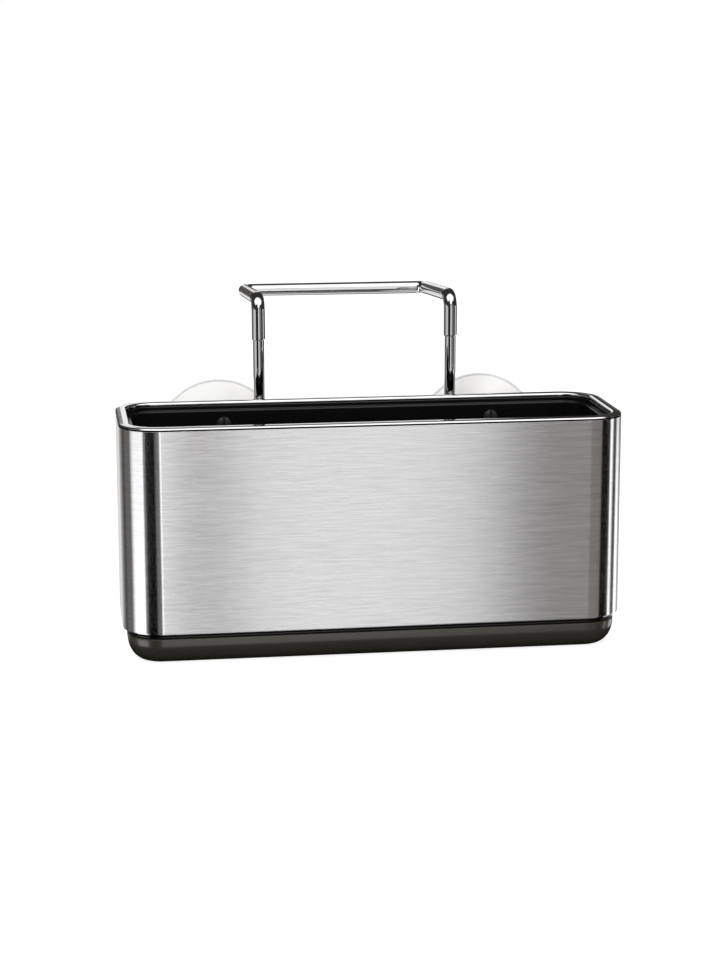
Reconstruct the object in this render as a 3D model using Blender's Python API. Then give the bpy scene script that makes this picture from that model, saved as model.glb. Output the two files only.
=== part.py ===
"""Sink organizer: a steel-wrapped caddy on a drip tray, with suction cups and a wire hanger.

Units are metres, +Z is up, -Y is the front. The origin is the centre of the tray's flat underside.
The drip tray stands still, the caddy lifts off it, and the wire frame slides up and down behind the caddy.
"""
import math

import bmesh
import bpy
from mathutils import Vector

# Driving dimensions of the body
BODY_WIDTH = 0.245
BODY_DEPTH = 0.078
BODY_CORNER_RADIUS = 0.019
RIM_TOP = 0.1161
MIN_CORNER_RADIUS = 0.002
CLEARANCE = 0.0003
CUT_OVERRUN = 0.001

# Drip tray
TRAY_INSET = 0.0022
TRAY_TOP = 0.0130
TRAY_WALL = 0.0020
TRAY_FLOOR = 0.0020
TRAY_EDGE_WIDTH = 0.0085
TRAY_STRAIGHT_HEIGHT = 0.0016
TRAY_LIP_RADIUS = 0.0006
TRAY_LEDGE_TOP = 0.0088
TRAY_LEDGE_WIDTH = 0.0030
TRAY_INNER_FILLET = 0.0020
FLOOR_CAP_MARGIN = 0.0040

# Liner: foot ring and skirt
SEAM_HEIGHT = 0.0006
FOOT_RING_INSET = 0.0021
FOOT_RING_HEIGHT = 0.0008
SHADOW_GAP = 0.0013
SHADOW_DEPTH = 0.0014
SKIRT_GAP = 0.0007
SKIRT_WALL = 0.0016
SEAL_HEIGHT = 0.0010
SEAL_GROOVE_DEPTH = 0.0009
SEAL_GROOVE_ABOVE_SKIRT = 0.0013
SEAL_EDGE_RADIUS = 0.0003

# Liner: walls, collar and floor
LINER_WALL = 0.0020
LINER_FLOOR = 0.0020
LINER_DRAFT = 0.0006
LINER_FLOOR_FILLET = 0.0030
LOCATING_BAND_HEIGHT = 0.0048
BAND_SLOPE_HEIGHT = 0.0025
COLLAR_HEIGHT = 0.0051
COLLAR_SLOPE_HEIGHT = 0.0020
COLLAR_SETBACK = 0.0010
LEDGE_DROP = 0.0024
LEDGE_WIDTH = 0.0013
LEDGE_RADIUS = 0.0005
DRAIN_SLOT_LENGTH = 0.0200
DRAIN_SLOT_WIDTH = 0.0030
DRAIN_SLOT_PITCH = 0.0260
DRAIN_ROW_PITCH = 0.0120
DRAIN_ROWS = 3

# Steel sleeve
SHEET = 0.0008
RIM_WIDTH = 0.0054
RIM_THICKNESS = 0.0016
RIM_EDGE_RADIUS = 0.0011
RIM_INNER_RADIUS = 0.0006
CREASE_DEPTH = 0.0003
CREASE_HEIGHT = 0.0006
SHEET_EDGE_RADIUS = 0.0002

# Wire frame
ROD_SPACING = 0.0982
ROD_SETBACK = 0.0040
ROD_RADIUS = 0.00285
ROD_TIP_CHAMFER = 0.0004
SPIGOT_RADIUS = 0.0023
SPIGOT_LENGTH = 0.0150
TUBE_RADIUS = 0.0034
TUBE_END_ABOVE_RIM = 0.0291
LOOP_ABOVE_RIM = 0.0500
LOOP_REACH = 0.0790
CROSSBAR_DROP = 0.0052
LOOP_BEND_RADIUS = 0.0070
LOOP_CORNER_RADIUS = 0.0050
FRAME_TRAVEL_UP = 0.0300
END_CAP_LENGTH = 0.0090
END_CAP_FLOOR = 0.0020
END_CAP_EDGE_RADIUS = 0.0012

# Rear bracket
BRACKET_END_MARGIN = 0.0116
BRACKET_HEIGHT = 0.0340
BRACKET_THICKNESS = 0.0093
BRACKET_BELOW_RIM = 0.0055
BRACKET_WEB_THICKNESS = 0.0052
BRACKET_POD_OVERHANG = 0.0105
BRACKET_POD_SLOPE = 0.0040
BRACKET_EDGE_BEVEL = 0.0008
PAD_WIDTH = 0.0044
PAD_HEIGHT = 0.0134
PAD_EDGE_BEVEL = 0.0003

# Suction cups, their studs and nuts
CUP_SPACING = 0.1368
CUP_BELOW_RIM = 0.0260
CUP_RADIUS = 0.0320
CUP_LENGTH = 0.0181
CUP_NECK_RADIUS = 0.0080
CUP_NECK_LENGTH = 0.0050
CUP_NECK_EDGE_RADIUS = 0.0008
CUP_LIP_WIDTH = 0.0030
CUP_LIP_THICKNESS = 0.0011
CUP_HOLLOW_DEPTH = 0.0095
CUP_OUTER_POWER = 1.25
CUP_HOLLOW_POWER = 1.6
CUP_BORE_DEPTH = 0.0060
STUD_RADIUS = 0.0025
STUD_TIP_CHAMFER = 0.0005
NUT_ACROSS_FLATS = 0.0080
NUT_THICKNESS = 0.0034

# Screws that hold the bracket, the sleeve and the liner together
SCREW_INSIDE_CUP = 0.0004
SCREW_BELOW_RIM = 0.0113
SCREW_HEAD_RADIUS = 0.0037
SCREW_HEAD_HEIGHT = 0.0020
SCREW_HEAD_EDGE = 0.0005
SCREW_SHANK_RADIUS = 0.0019
SCREW_REACH_IN_BRACKET = 0.0068
SCREW_TIP_CHAMFER = 0.0006
SCREW_SLOT_WIDTH = 0.0010
SCREW_SLOT_DEPTH = 0.0011
BOSS_RADIUS = 0.0045

# Levels and places worked out from the sizes above
SKIRT_BOTTOM = TRAY_LEDGE_TOP + CLEARANCE
FOOT_RING_BOTTOM = TRAY_TOP + SEAM_HEIGHT
FOOT_RING_TOP = FOOT_RING_BOTTOM + FOOT_RING_HEIGHT
SLEEVE_BOTTOM = FOOT_RING_TOP + SHADOW_GAP
LINER_FLOOR_BOTTOM = SLEEVE_BOTTOM - CLEARANCE
LINER_FLOOR_TOP = LINER_FLOOR_BOTTOM + LINER_FLOOR
LINER_TOP = RIM_TOP - RIM_THICKNESS - CLEARANCE
LEDGE_TOP = LINER_TOP - LEDGE_DROP
SKIRT_INSET = TRAY_INSET + TRAY_WALL + SKIRT_GAP
SEAL_GROOVE_BOTTOM = SKIRT_BOTTOM + SEAL_GROOVE_ABOVE_SKIRT
SEAL_GROOVE_TOP = SEAL_GROOVE_BOTTOM + SEAL_HEIGHT + 2 * CLEARANCE
LINER_BAND_INSET = SHEET + CLEARANCE
COLLAR_INNER_INSET = RIM_WIDTH + COLLAR_SETBACK
LINER_INNER_INSET = COLLAR_INNER_INSET + LEDGE_WIDTH
LINER_OUTER_INSET = LINER_INNER_INSET - LINER_WALL
BACK_WALL = BODY_DEPTH / 2
BRACKET_WIDTH = CUP_SPACING + 2 * BRACKET_END_MARGIN
BRACKET_FRONT = BACK_WALL + CLEARANCE
BRACKET_BACK = BRACKET_FRONT + BRACKET_THICKNESS
BRACKET_TOP = RIM_TOP - BRACKET_BELOW_RIM
BRACKET_BOTTOM = BRACKET_TOP - BRACKET_HEIGHT
ROD_Y = BACK_WALL + ROD_SETBACK
TUBE_END = RIM_TOP + TUBE_END_ABOVE_RIM
LOOP_TOP = RIM_TOP + LOOP_ABOVE_RIM
END_CAP_RADIUS = ROD_SETBACK - CLEARANCE
END_CAP_TOP = BRACKET_BOTTOM - FRAME_TRAVEL_UP - CLEARANCE
END_CAP_BOTTOM = END_CAP_TOP - END_CAP_LENGTH
CUP_Z = RIM_TOP - CUP_BELOW_RIM
CUP_FRONT = BRACKET_BACK + CLEARANCE
SCREW_SPACING = CUP_SPACING - 2 * SCREW_INSIDE_CUP
SCREW_Z = RIM_TOP - SCREW_BELOW_RIM
LINER_BACK_FACE = BACK_WALL - LINER_INNER_INSET

# Mesh fineness
CORNER_STEPS = 6
ARC_STEPS = 3
TRAY_EDGE_STEPS = 5
TURN_SIDES = 16
CUP_SIDES = 28
CUP_STEPS = 5
BEND_STEPS = 5
TUBE_RESOLUTION = 3
HEXAGON_SIDES = 6
SLOT_END_STEPS = 3
SIDES = (("left", -1), ("right", 1))


def clear_scene():
    for thing in list(bpy.data.objects):
        bpy.data.objects.remove(thing, do_unlink=True)


def finish_material(name, colour, metallic, roughness):
    material = bpy.data.materials.new(name)
    material.use_nodes = True
    shader = material.node_tree.nodes["Principled BSDF"]
    shader.inputs["Base Color"].default_value = (*colour, 1.0)
    shader.inputs["Metallic"].default_value = metallic
    shader.inputs["Roughness"].default_value = roughness
    return material


def make_materials():
    return {
        "brushed": finish_material("brushed_steel", (0.60, 0.59, 0.58), 1.0, 0.32),
        "chrome": finish_material("chrome", (0.80, 0.80, 0.80), 1.0, 0.06),
        "hardware": finish_material("hardware_steel", (0.55, 0.55, 0.55), 1.0, 0.25),
        "black": finish_material("black_plastic", (0.02, 0.02, 0.02), 0.0, 0.30),
        "seal": finish_material("seal_rubber", (0.06, 0.06, 0.06), 0.0, 0.80),
        "pad": finish_material("grey_nylon", (0.35, 0.35, 0.36), 0.0, 0.50),
        "vinyl": finish_material("pale_vinyl", (0.85, 0.84, 0.82), 0.0, 0.25),
    }


def body_empty(name, location):
    """An empty on a joint's axis, which the pieces of one moving body are parented to."""
    empty = bpy.data.objects.new(name, None)
    empty.location = location
    bpy.context.scene.collection.objects.link(empty)
    return empty


def mesh_object(name, mesh_data, material=None, location=(0, 0, 0), rotation=(0, 0, 0), parent=None):
    """Link a mesh as an object. Its location is given in world space and kept under its parent."""
    mesh_data.shade_smooth()
    mesh_data.set_sharp_from_angle(angle=math.radians(40))
    thing = bpy.data.objects.new(name, mesh_data)
    bpy.context.scene.collection.objects.link(thing)
    thing.rotation_euler = rotation
    thing.location = Vector(location) - (parent.location if parent else Vector())
    thing.parent = parent
    if material:
        mesh_data.materials.append(material)
    return thing


def as_tool(thing):
    """Mark an object as a cutter or a joined form that isn't a piece of its own."""
    thing.hide_render = True
    thing.display_type = "WIRE"
    return thing


def boolean(target, tool, operation="DIFFERENCE"):
    modifier = target.modifiers.new(tool.name, "BOOLEAN")
    modifier.operation = operation
    modifier.solver = "EXACT"
    modifier.object = tool


def bevel(target, width):
    modifier = target.modifiers.new("edges", "BEVEL")
    modifier.width = width
    modifier.segments = 1
    modifier.limit_method = "ANGLE"


def mesh_from(build, name):
    """Run a function that fills a bmesh, and return the mesh with its faces pointing out."""
    work = bmesh.new()
    build(work)
    bmesh.ops.recalc_face_normals(work, faces=work.faces)
    data = bpy.data.meshes.new(name)
    work.to_mesh(data)
    work.free()
    return data


def rounded(points):
    """Replace each (a, b, radius) corner by an arc, limited by the straight runs beside it."""
    result = []
    last = len(points) - 1
    for index, (a, b, radius) in enumerate(points):
        here = Vector((a, b))
        if radius == 0 or index in (0, last):
            result.append((a, b))
            continue
        back = Vector(points[index - 1][:2]) - here
        ahead = Vector(points[index + 1][:2]) - here
        half_angle = back.angle(ahead) / 2
        reach = min(radius / math.tan(half_angle), back.length / 2, ahead.length / 2)
        limited = reach * math.tan(half_angle)
        centre = here + (back.normalized() + ahead.normalized()).normalized() * limited / math.sin(half_angle)
        start = here + back.normalized() * reach - centre
        end = here + ahead.normalized() * reach - centre
        sweep = start.angle_signed(end)
        for step in range(ARC_STEPS + 1):
            turn = -sweep * step / ARC_STEPS
            x = start.x * math.cos(turn) - start.y * math.sin(turn)
            y = start.x * math.sin(turn) + start.y * math.cos(turn)
            result.append((centre.x + x, centre.y + y))
    return result


def body_outline(inset):
    """The body's rounded rectangle seen from above, drawn in by inset all round."""
    radius = max(BODY_CORNER_RADIUS - inset, MIN_CORNER_RADIUS)
    half_x = BODY_WIDTH / 2 - inset - radius
    half_y = BODY_DEPTH / 2 - inset - radius
    points = []
    for quarter, (side_x, side_y) in enumerate(((1, 1), (-1, 1), (-1, -1), (1, -1))):
        for step in range(CORNER_STEPS + 1):
            angle = math.radians(90) * (quarter + step / CORNER_STEPS)
            x = side_x * half_x + radius * math.cos(angle)
            y = side_y * half_y + radius * math.sin(angle)
            points.append((x, y))
    return points


def wrapped_mesh(name, section, is_ring):
    """Carry a section of (inset, height) points round the body's outline.

    A ring's section closes on itself. Otherwise the first and last loops are closed by flat faces.
    """
    def build(work):
        loops = []
        for inset, height in section:
            loops.append([work.verts.new((x, y, height)) for x, y in body_outline(inset)])
        pairs = list(zip(loops, loops[1:]))
        if is_ring:
            pairs.append((loops[-1], loops[0]))
        else:
            work.faces.new(loops[0])
            work.faces.new(loops[-1])
        for lower, upper in pairs:
            join_loops(work, lower, upper)
    return mesh_from(build, name)


def join_loops(work, lower, upper):
    count = len(lower)
    for index in range(count):
        following = (index + 1) % count
        work.faces.new((lower[index], lower[following], upper[following], upper[index]))


def turned_mesh(name, section, sides):
    """Turn a section of (radius, height) points about the local Z axis. Both ends lie on the axis."""
    def build(work):
        loops = []
        for radius, height in section:
            if radius == 0:
                loops.append([work.verts.new((0, 0, height))])
                continue
            loops.append([work.verts.new((x, y, height)) for x, y in circle_outline(radius, sides)])
        for lower, upper in zip(loops, loops[1:]):
            if len(lower) == len(upper):
                join_loops(work, lower, upper)
                continue
            tip, ring = sorted((lower, upper), key=len)
            for index in range(sides):
                work.faces.new((tip[0], ring[index], ring[(index + 1) % sides]))
    return mesh_from(build, name)


def prism_mesh(name, outline, low, high):
    """Extrude an outline of (x, y) points from one height to another."""
    def build(work):
        lower = [work.verts.new((x, y, low)) for x, y in outline]
        upper = [work.verts.new((x, y, high)) for x, y in outline]
        work.faces.new(lower)
        work.faces.new(upper)
        join_loops(work, lower, upper)
    return mesh_from(build, name)


def box_outline(half_x, half_y):
    return [(-half_x, -half_y), (half_x, -half_y), (half_x, half_y), (-half_x, half_y)]


def circle_outline(radius, sides):
    angles = [math.tau * step / sides for step in range(sides)]
    return [(radius * math.cos(angle), radius * math.sin(angle)) for angle in angles]


def hexagon_outline(half_across_flats):
    return circle_outline(half_across_flats / math.cos(math.pi / HEXAGON_SIDES), HEXAGON_SIDES)


def round_tool(name, radius, length, location, rotation, parent):
    """A round bar used as a cutter or a boss, from its location along its local Z axis."""
    mesh_data = prism_mesh(name, circle_outline(radius, TURN_SIDES), 0, length)
    return as_tool(mesh_object(name, mesh_data, None, location, rotation, parent))


# Rotation that turns a local +Z axis to the back of the part, +Y
TO_BACK = (math.radians(-90), 0, 0)


def make_drip_tray(materials):
    """The tray's section, from the middle of its underside round the outside to the middle of its floor.

    Its wall turns under in a tall quarter ellipse.
    """
    ledge_inset = TRAY_INSET + TRAY_WALL + TRAY_LEDGE_WIDTH
    edge_inset = TRAY_INSET + TRAY_EDGE_WIDTH
    edge_height = TRAY_TOP - TRAY_STRAIGHT_HEIGHT
    cap_inset = edge_inset + FLOOR_CAP_MARGIN
    edge = []
    for step in range(TRAY_EDGE_STEPS):
        angle = math.radians(90) * step / TRAY_EDGE_STEPS
        edge.append((edge_inset - TRAY_EDGE_WIDTH * math.sin(angle), edge_height * (1 - math.cos(angle))))
    wall = rounded([
        (TRAY_INSET, edge_height, 0),
        (TRAY_INSET, TRAY_TOP, TRAY_LIP_RADIUS),
        (TRAY_INSET + TRAY_WALL, TRAY_TOP, 0),
        (TRAY_INSET + TRAY_WALL, TRAY_LEDGE_TOP, 0),
        (ledge_inset, TRAY_LEDGE_TOP, 0),
        (ledge_inset, TRAY_FLOOR, TRAY_INNER_FILLET),
        (cap_inset, TRAY_FLOOR, 0),
    ])
    section = [(cap_inset, 0)] + edge + wall
    return mesh_object("drip_tray", wrapped_mesh("drip_tray", section, False), materials["black"])


def make_tray_seal(materials, caddy):
    outer = TRAY_INSET + TRAY_WALL + CLEARANCE
    inner = SKIRT_INSET + SEAL_GROOVE_DEPTH - CLEARANCE
    bottom = SEAL_GROOVE_BOTTOM + CLEARANCE
    top = bottom + SEAL_HEIGHT
    middle = (bottom + top) / 2
    section = rounded([
        (inner, middle, 0),
        (inner, bottom, 0),
        (outer, bottom, SEAL_EDGE_RADIUS),
        (outer, top, SEAL_EDGE_RADIUS),
        (inner, top, 0),
    ])
    return mesh_object("tray_seal", wrapped_mesh("tray_seal", section, True), materials["seal"], parent=caddy)


def liner_section():
    """The liner's section, from the middle of its underside round the outside to the middle of its floor."""
    skirt_inner = SKIRT_INSET + SKIRT_WALL
    shadow_inset = FOOT_RING_INSET + SHADOW_DEPTH
    foot_inset = LINER_INNER_INSET + LINER_DRAFT
    cap_inset = foot_inset + LINER_FLOOR_FILLET + FLOOR_CAP_MARGIN
    band_top = LINER_FLOOR_BOTTOM + LOCATING_BAND_HEIGHT
    collar_bottom = LINER_TOP - COLLAR_HEIGHT
    return rounded([
        (cap_inset, LINER_FLOOR_BOTTOM, 0),
        (skirt_inner, LINER_FLOOR_BOTTOM, 0),
        (skirt_inner, SKIRT_BOTTOM, 0),
        (SKIRT_INSET, SKIRT_BOTTOM, 0),
        (SKIRT_INSET, SEAL_GROOVE_BOTTOM, 0),
        (SKIRT_INSET + SEAL_GROOVE_DEPTH, SEAL_GROOVE_BOTTOM, 0),
        (SKIRT_INSET + SEAL_GROOVE_DEPTH, SEAL_GROOVE_TOP, 0),
        (SKIRT_INSET, SEAL_GROOVE_TOP, 0),
        (SKIRT_INSET, FOOT_RING_BOTTOM, 0),
        (FOOT_RING_INSET, FOOT_RING_BOTTOM, 0),
        (FOOT_RING_INSET, FOOT_RING_TOP, 0),
        (shadow_inset, FOOT_RING_TOP, 0),
        (shadow_inset, LINER_FLOOR_BOTTOM, 0),
        (LINER_BAND_INSET, LINER_FLOOR_BOTTOM, 0),
        (LINER_BAND_INSET, band_top, 0),
        (LINER_OUTER_INSET, band_top + BAND_SLOPE_HEIGHT, 0),
        (LINER_OUTER_INSET, collar_bottom - COLLAR_SLOPE_HEIGHT, 0),
        (LINER_BAND_INSET, collar_bottom, 0),
        (LINER_BAND_INSET, LINER_TOP, 0),
        (COLLAR_INNER_INSET, LINER_TOP, LEDGE_RADIUS),
        (COLLAR_INNER_INSET, LEDGE_TOP, 0),
        (LINER_INNER_INSET, LEDGE_TOP, LEDGE_RADIUS),
        (foot_inset, LINER_FLOOR_TOP, LINER_FLOOR_FILLET),
        (cap_inset, LINER_FLOOR_TOP, 0),
    ])


def slot_outline(centre_x, centre_y):
    """A slot along X with round ends."""
    half = (DRAIN_SLOT_LENGTH - DRAIN_SLOT_WIDTH) / 2
    radius = DRAIN_SLOT_WIDTH / 2
    points = []
    for side in (1, -1):
        for step in range(SLOT_END_STEPS + 1):
            angle = math.radians(-90) + math.radians(180) * step / SLOT_END_STEPS
            x = centre_x + side * (half + radius * math.cos(angle))
            points.append((x, centre_y + side * radius * math.sin(angle)))
    return points


def drain_slot_cutter(caddy):
    """Rows of slots on the floor's flat part, as many as fit at their pitch. The middle row is offset."""
    flat_half = BODY_WIDTH / 2 - LINER_INNER_INSET - LINER_DRAFT - LINER_FLOOR_FILLET - FLOOR_CAP_MARGIN
    low = LINER_FLOOR_BOTTOM - CUT_OVERRUN
    high = LINER_FLOOR_TOP + CUT_OVERRUN
    whole = bmesh.new()
    for row in range(DRAIN_ROWS):
        count = int(2 * flat_half / DRAIN_SLOT_PITCH) - row % 2
        for index in range(count):
            x = (index - (count - 1) / 2) * DRAIN_SLOT_PITCH
            y = (row - (DRAIN_ROWS - 1) / 2) * DRAIN_ROW_PITCH
            single = prism_mesh("drain_slot", slot_outline(x, y), low, high)
            whole.from_mesh(single)
    data = bpy.data.meshes.new("drain_slots")
    whole.to_mesh(data)
    whole.free()
    return as_tool(mesh_object("drain_slots", data, parent=caddy))


def make_liner(materials, caddy):
    mesh_data = wrapped_mesh("inner_liner", liner_section(), False)
    liner = mesh_object("inner_liner", mesh_data, materials["black"], parent=caddy)
    boss_start = LINER_BACK_FACE + LINER_WALL / 2
    boss_length = BACK_WALL - SHEET - CLEARANCE - boss_start
    for side_name, side in SIDES:
        start = (side * SCREW_SPACING / 2, boss_start, SCREW_Z)
        boss = round_tool("boss_" + side_name, BOSS_RADIUS, boss_length, start, TO_BACK, caddy)
        boolean(liner, boss, "UNION")
    for side_name, side in SIDES:
        start = (side * SCREW_SPACING / 2, LINER_BACK_FACE - LINER_DRAFT - CUT_OVERRUN, SCREW_Z)
        radius = SCREW_SHANK_RADIUS + CLEARANCE
        hole = round_tool("liner_hole_" + side_name, radius, BODY_DEPTH / 2, start, TO_BACK, caddy)
        boolean(liner, hole)
    boolean(liner, drain_slot_cutter(caddy))
    return liner


def sleeve_section():
    """The sheet's section: outside from the lower edge up, over the rim, and down the inside."""
    rim_bottom = RIM_TOP - RIM_THICKNESS
    crease_low = rim_bottom - CREASE_HEIGHT / 2
    return rounded([
        (SHEET / 2, SLEEVE_BOTTOM, 0),
        (0, SLEEVE_BOTTOM, SHEET_EDGE_RADIUS),
        (0, crease_low, 0),
        (CREASE_DEPTH, crease_low + CREASE_HEIGHT / 2, 0),
        (0, crease_low + CREASE_HEIGHT, 0),
        (0, RIM_TOP, RIM_EDGE_RADIUS),
        (RIM_WIDTH, RIM_TOP, RIM_INNER_RADIUS),
        (RIM_WIDTH, rim_bottom, 0),
        (SHEET, rim_bottom, 0),
        (SHEET, SLEEVE_BOTTOM, 0),
    ])


def make_sleeve(materials, caddy):
    mesh_data = wrapped_mesh("steel_sleeve", sleeve_section(), True)
    sleeve = mesh_object("steel_sleeve", mesh_data, materials["brushed"], parent=caddy)
    for side_name, side in SIDES:
        start = (side * SCREW_SPACING / 2, BACK_WALL - SHEET - CUT_OVERRUN, SCREW_Z)
        length = SHEET + 2 * CUT_OVERRUN
        radius = SCREW_SHANK_RADIUS + CLEARANCE
        hole = round_tool("sleeve_hole_" + side_name, radius, length, start, TO_BACK, caddy)
        boolean(sleeve, hole)
    return sleeve


def bracket_outline():
    """The bracket seen from above: a thin web in the middle and a thick pod at each end."""
    half = BRACKET_WIDTH / 2
    pod = ROD_SPACING / 2 - BRACKET_POD_OVERHANG
    web = pod - BRACKET_POD_SLOPE
    web_back = BRACKET_FRONT + BRACKET_WEB_THICKNESS
    return [
        (-half, BRACKET_FRONT), (half, BRACKET_FRONT), (half, BRACKET_BACK), (pod, BRACKET_BACK),
        (web, web_back), (-web, web_back), (-pod, BRACKET_BACK), (-half, BRACKET_BACK),
    ]


def cut_bracket(bracket, side_name, side, caddy):
    """Bore for the rod, pocket for its pad, hole and nut pocket for the cup, and hole for the screw."""
    rod_x = side * ROD_SPACING / 2
    bore_start = (rod_x, ROD_Y, BRACKET_BOTTOM - CUT_OVERRUN)
    bore_length = BRACKET_HEIGHT + 2 * CUT_OVERRUN
    bore_radius = ROD_RADIUS + CLEARANCE
    bore = round_tool("rod_bore_" + side_name, bore_radius, bore_length, bore_start, (0, 0, 0), caddy)
    pocket_outline = box_outline(PAD_WIDTH / 2 + CLEARANCE, PAD_HEIGHT / 2 + CLEARANCE)
    pocket_mesh = prism_mesh("pad_pocket", pocket_outline, 0, BRACKET_BACK - ROD_Y + CUT_OVERRUN)
    pocket_place = (rod_x, ROD_Y, (BRACKET_TOP + BRACKET_BOTTOM) / 2)
    pocket = mesh_object("pad_pocket_" + side_name, pocket_mesh, None, pocket_place, TO_BACK, caddy)
    stud_start = (side * CUP_SPACING / 2, BRACKET_FRONT - CUT_OVERRUN, CUP_Z)
    stud_length = BRACKET_THICKNESS + 2 * CUT_OVERRUN
    stud_radius = STUD_RADIUS + CLEARANCE
    stud_name = "stud_hole_" + side_name
    stud_hole = round_tool(stud_name, stud_radius, stud_length, stud_start, TO_BACK, caddy)
    hexagon = hexagon_outline(NUT_ACROSS_FLATS / 2 + CLEARANCE)
    nut_mesh = prism_mesh("nut_pocket", hexagon, 0, CUT_OVERRUN + NUT_THICKNESS + 2 * CLEARANCE)
    nut_pocket = mesh_object("nut_pocket_" + side_name, nut_mesh, None, stud_start, TO_BACK, caddy)
    screw_start = (side * SCREW_SPACING / 2, BRACKET_FRONT - CUT_OVERRUN, SCREW_Z)
    screw_length = CUT_OVERRUN + SCREW_REACH_IN_BRACKET + CLEARANCE
    screw_radius = SCREW_SHANK_RADIUS + CLEARANCE
    screw_name = "screw_hole_" + side_name
    screw_hole = round_tool(screw_name, screw_radius, screw_length, screw_start, TO_BACK, caddy)
    for tool in (bore, as_tool(pocket), stud_hole, as_tool(nut_pocket), screw_hole):
        boolean(bracket, tool)


def make_bracket(materials, caddy):
    mesh_data = prism_mesh("rear_bracket", bracket_outline(), BRACKET_BOTTOM, BRACKET_TOP)
    bracket = mesh_object("rear_bracket", mesh_data, materials["black"], parent=caddy)
    bevel(bracket, BRACKET_EDGE_BEVEL)
    for side_name, side in SIDES:
        cut_bracket(bracket, side_name, side, caddy)
    return bracket


def make_friction_pad(side_name, side, materials, caddy):
    front = ROD_Y + ROD_RADIUS + CLEARANCE
    pad_outline = box_outline(PAD_WIDTH / 2, PAD_HEIGHT / 2)
    mesh_data = prism_mesh("friction_pad", pad_outline, 0, BRACKET_BACK - front)
    place = (side * ROD_SPACING / 2, front, (BRACKET_TOP + BRACKET_BOTTOM) / 2)
    pad = mesh_object("friction_pad_" + side_name, mesh_data, materials["pad"], place, TO_BACK, caddy)
    bevel(pad, PAD_EDGE_BEVEL)
    return pad


def screw_section():
    """A dome head, then the shank to its tip. Height runs from the top of the head to the back."""
    reach = BACK_WALL + CLEARANCE + SCREW_REACH_IN_BRACKET
    underside = SCREW_HEAD_HEIGHT
    shank_end = underside + reach - (LINER_BACK_FACE - CLEARANCE)
    dome = []
    for step in range(ARC_STEPS + 1):
        angle = math.radians(90) * step / (ARC_STEPS + 1)
        height = (SCREW_HEAD_HEIGHT - SCREW_HEAD_EDGE) * (1 - math.cos(angle))
        dome.append((SCREW_HEAD_RADIUS * math.sin(angle), height))
    return dome + [
        (SCREW_HEAD_RADIUS, SCREW_HEAD_HEIGHT - SCREW_HEAD_EDGE),
        (SCREW_HEAD_RADIUS, underside),
        (SCREW_SHANK_RADIUS, underside),
        (SCREW_SHANK_RADIUS, shank_end - SCREW_TIP_CHAMFER),
        (SCREW_SHANK_RADIUS - SCREW_TIP_CHAMFER, shank_end),
        (0, shank_end),
    ]


def make_bracket_screw(side_name, side, materials, caddy):
    place = (side * SCREW_SPACING / 2, LINER_BACK_FACE - CLEARANCE - SCREW_HEAD_HEIGHT, SCREW_Z)
    mesh_data = turned_mesh("bracket_screw", screw_section(), TURN_SIDES)
    screw = mesh_object("bracket_screw_" + side_name, mesh_data, materials["black"], place, TO_BACK, caddy)
    slot_half_length = SCREW_HEAD_RADIUS + CUT_OVERRUN
    slot_mesh = prism_mesh("screw_slot", box_outline(SCREW_SLOT_WIDTH / 2, slot_half_length),
                           -CUT_OVERRUN, SCREW_SLOT_DEPTH)
    slot = mesh_object("screw_slot_" + side_name, slot_mesh, None, place, TO_BACK, caddy)
    boolean(screw, as_tool(slot))
    return screw


def cup_section():
    """Bore for the stud, neck, flaring outer face, flat lip and the hollow that grips the wall."""
    bore = STUD_RADIUS + CLEARANCE
    lip_front = CUP_LENGTH - CUP_LIP_THICKNESS
    lip_inner = CUP_RADIUS - CUP_LIP_WIDTH
    neck = rounded([
        (bore, 0, 0),
        (CUP_NECK_RADIUS, 0, CUP_NECK_EDGE_RADIUS),
        (CUP_NECK_RADIUS, CUP_NECK_LENGTH, 0),
    ])
    outer = []
    for step in range(1, CUP_STEPS + 1):
        share = step / CUP_STEPS
        radius = CUP_NECK_RADIUS + (CUP_RADIUS - CUP_NECK_RADIUS) * share
        outer.append((radius, CUP_NECK_LENGTH + (lip_front - CUP_NECK_LENGTH) * share ** CUP_OUTER_POWER))
    hollow = []
    for step in range(CUP_STEPS, -1, -1):
        share = step / CUP_STEPS
        depth = CUP_HOLLOW_DEPTH * (1 - share ** CUP_HOLLOW_POWER)
        hollow.append((lip_inner * share, CUP_LENGTH - depth))
    return [(0, CUP_BORE_DEPTH), (bore, CUP_BORE_DEPTH)] + neck + outer + [(CUP_RADIUS, CUP_LENGTH)] + hollow


def make_suction_cup(side_name, side, materials, caddy):
    mesh_data = turned_mesh("suction_cup", cup_section(), CUP_SIDES)
    place = (side * CUP_SPACING / 2, CUP_FRONT, CUP_Z)
    return mesh_object("suction_cup_" + side_name, mesh_data, materials["vinyl"], place, TO_BACK, caddy)


def make_cup_stud(side_name, side, materials, caddy):
    start = BRACKET_FRONT + CLEARANCE
    length = CUP_FRONT + CUP_BORE_DEPTH - CLEARANCE - start
    section = [
        (0, 0),
        (STUD_RADIUS - STUD_TIP_CHAMFER, 0),
        (STUD_RADIUS, STUD_TIP_CHAMFER),
        (STUD_RADIUS, length - STUD_TIP_CHAMFER),
        (STUD_RADIUS - STUD_TIP_CHAMFER, length),
        (0, length),
    ]
    mesh_data = turned_mesh("cup_stud", section, TURN_SIDES)
    place = (side * CUP_SPACING / 2, start, CUP_Z)
    return mesh_object("cup_stud_" + side_name, mesh_data, materials["hardware"], place, TO_BACK, caddy)


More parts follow.
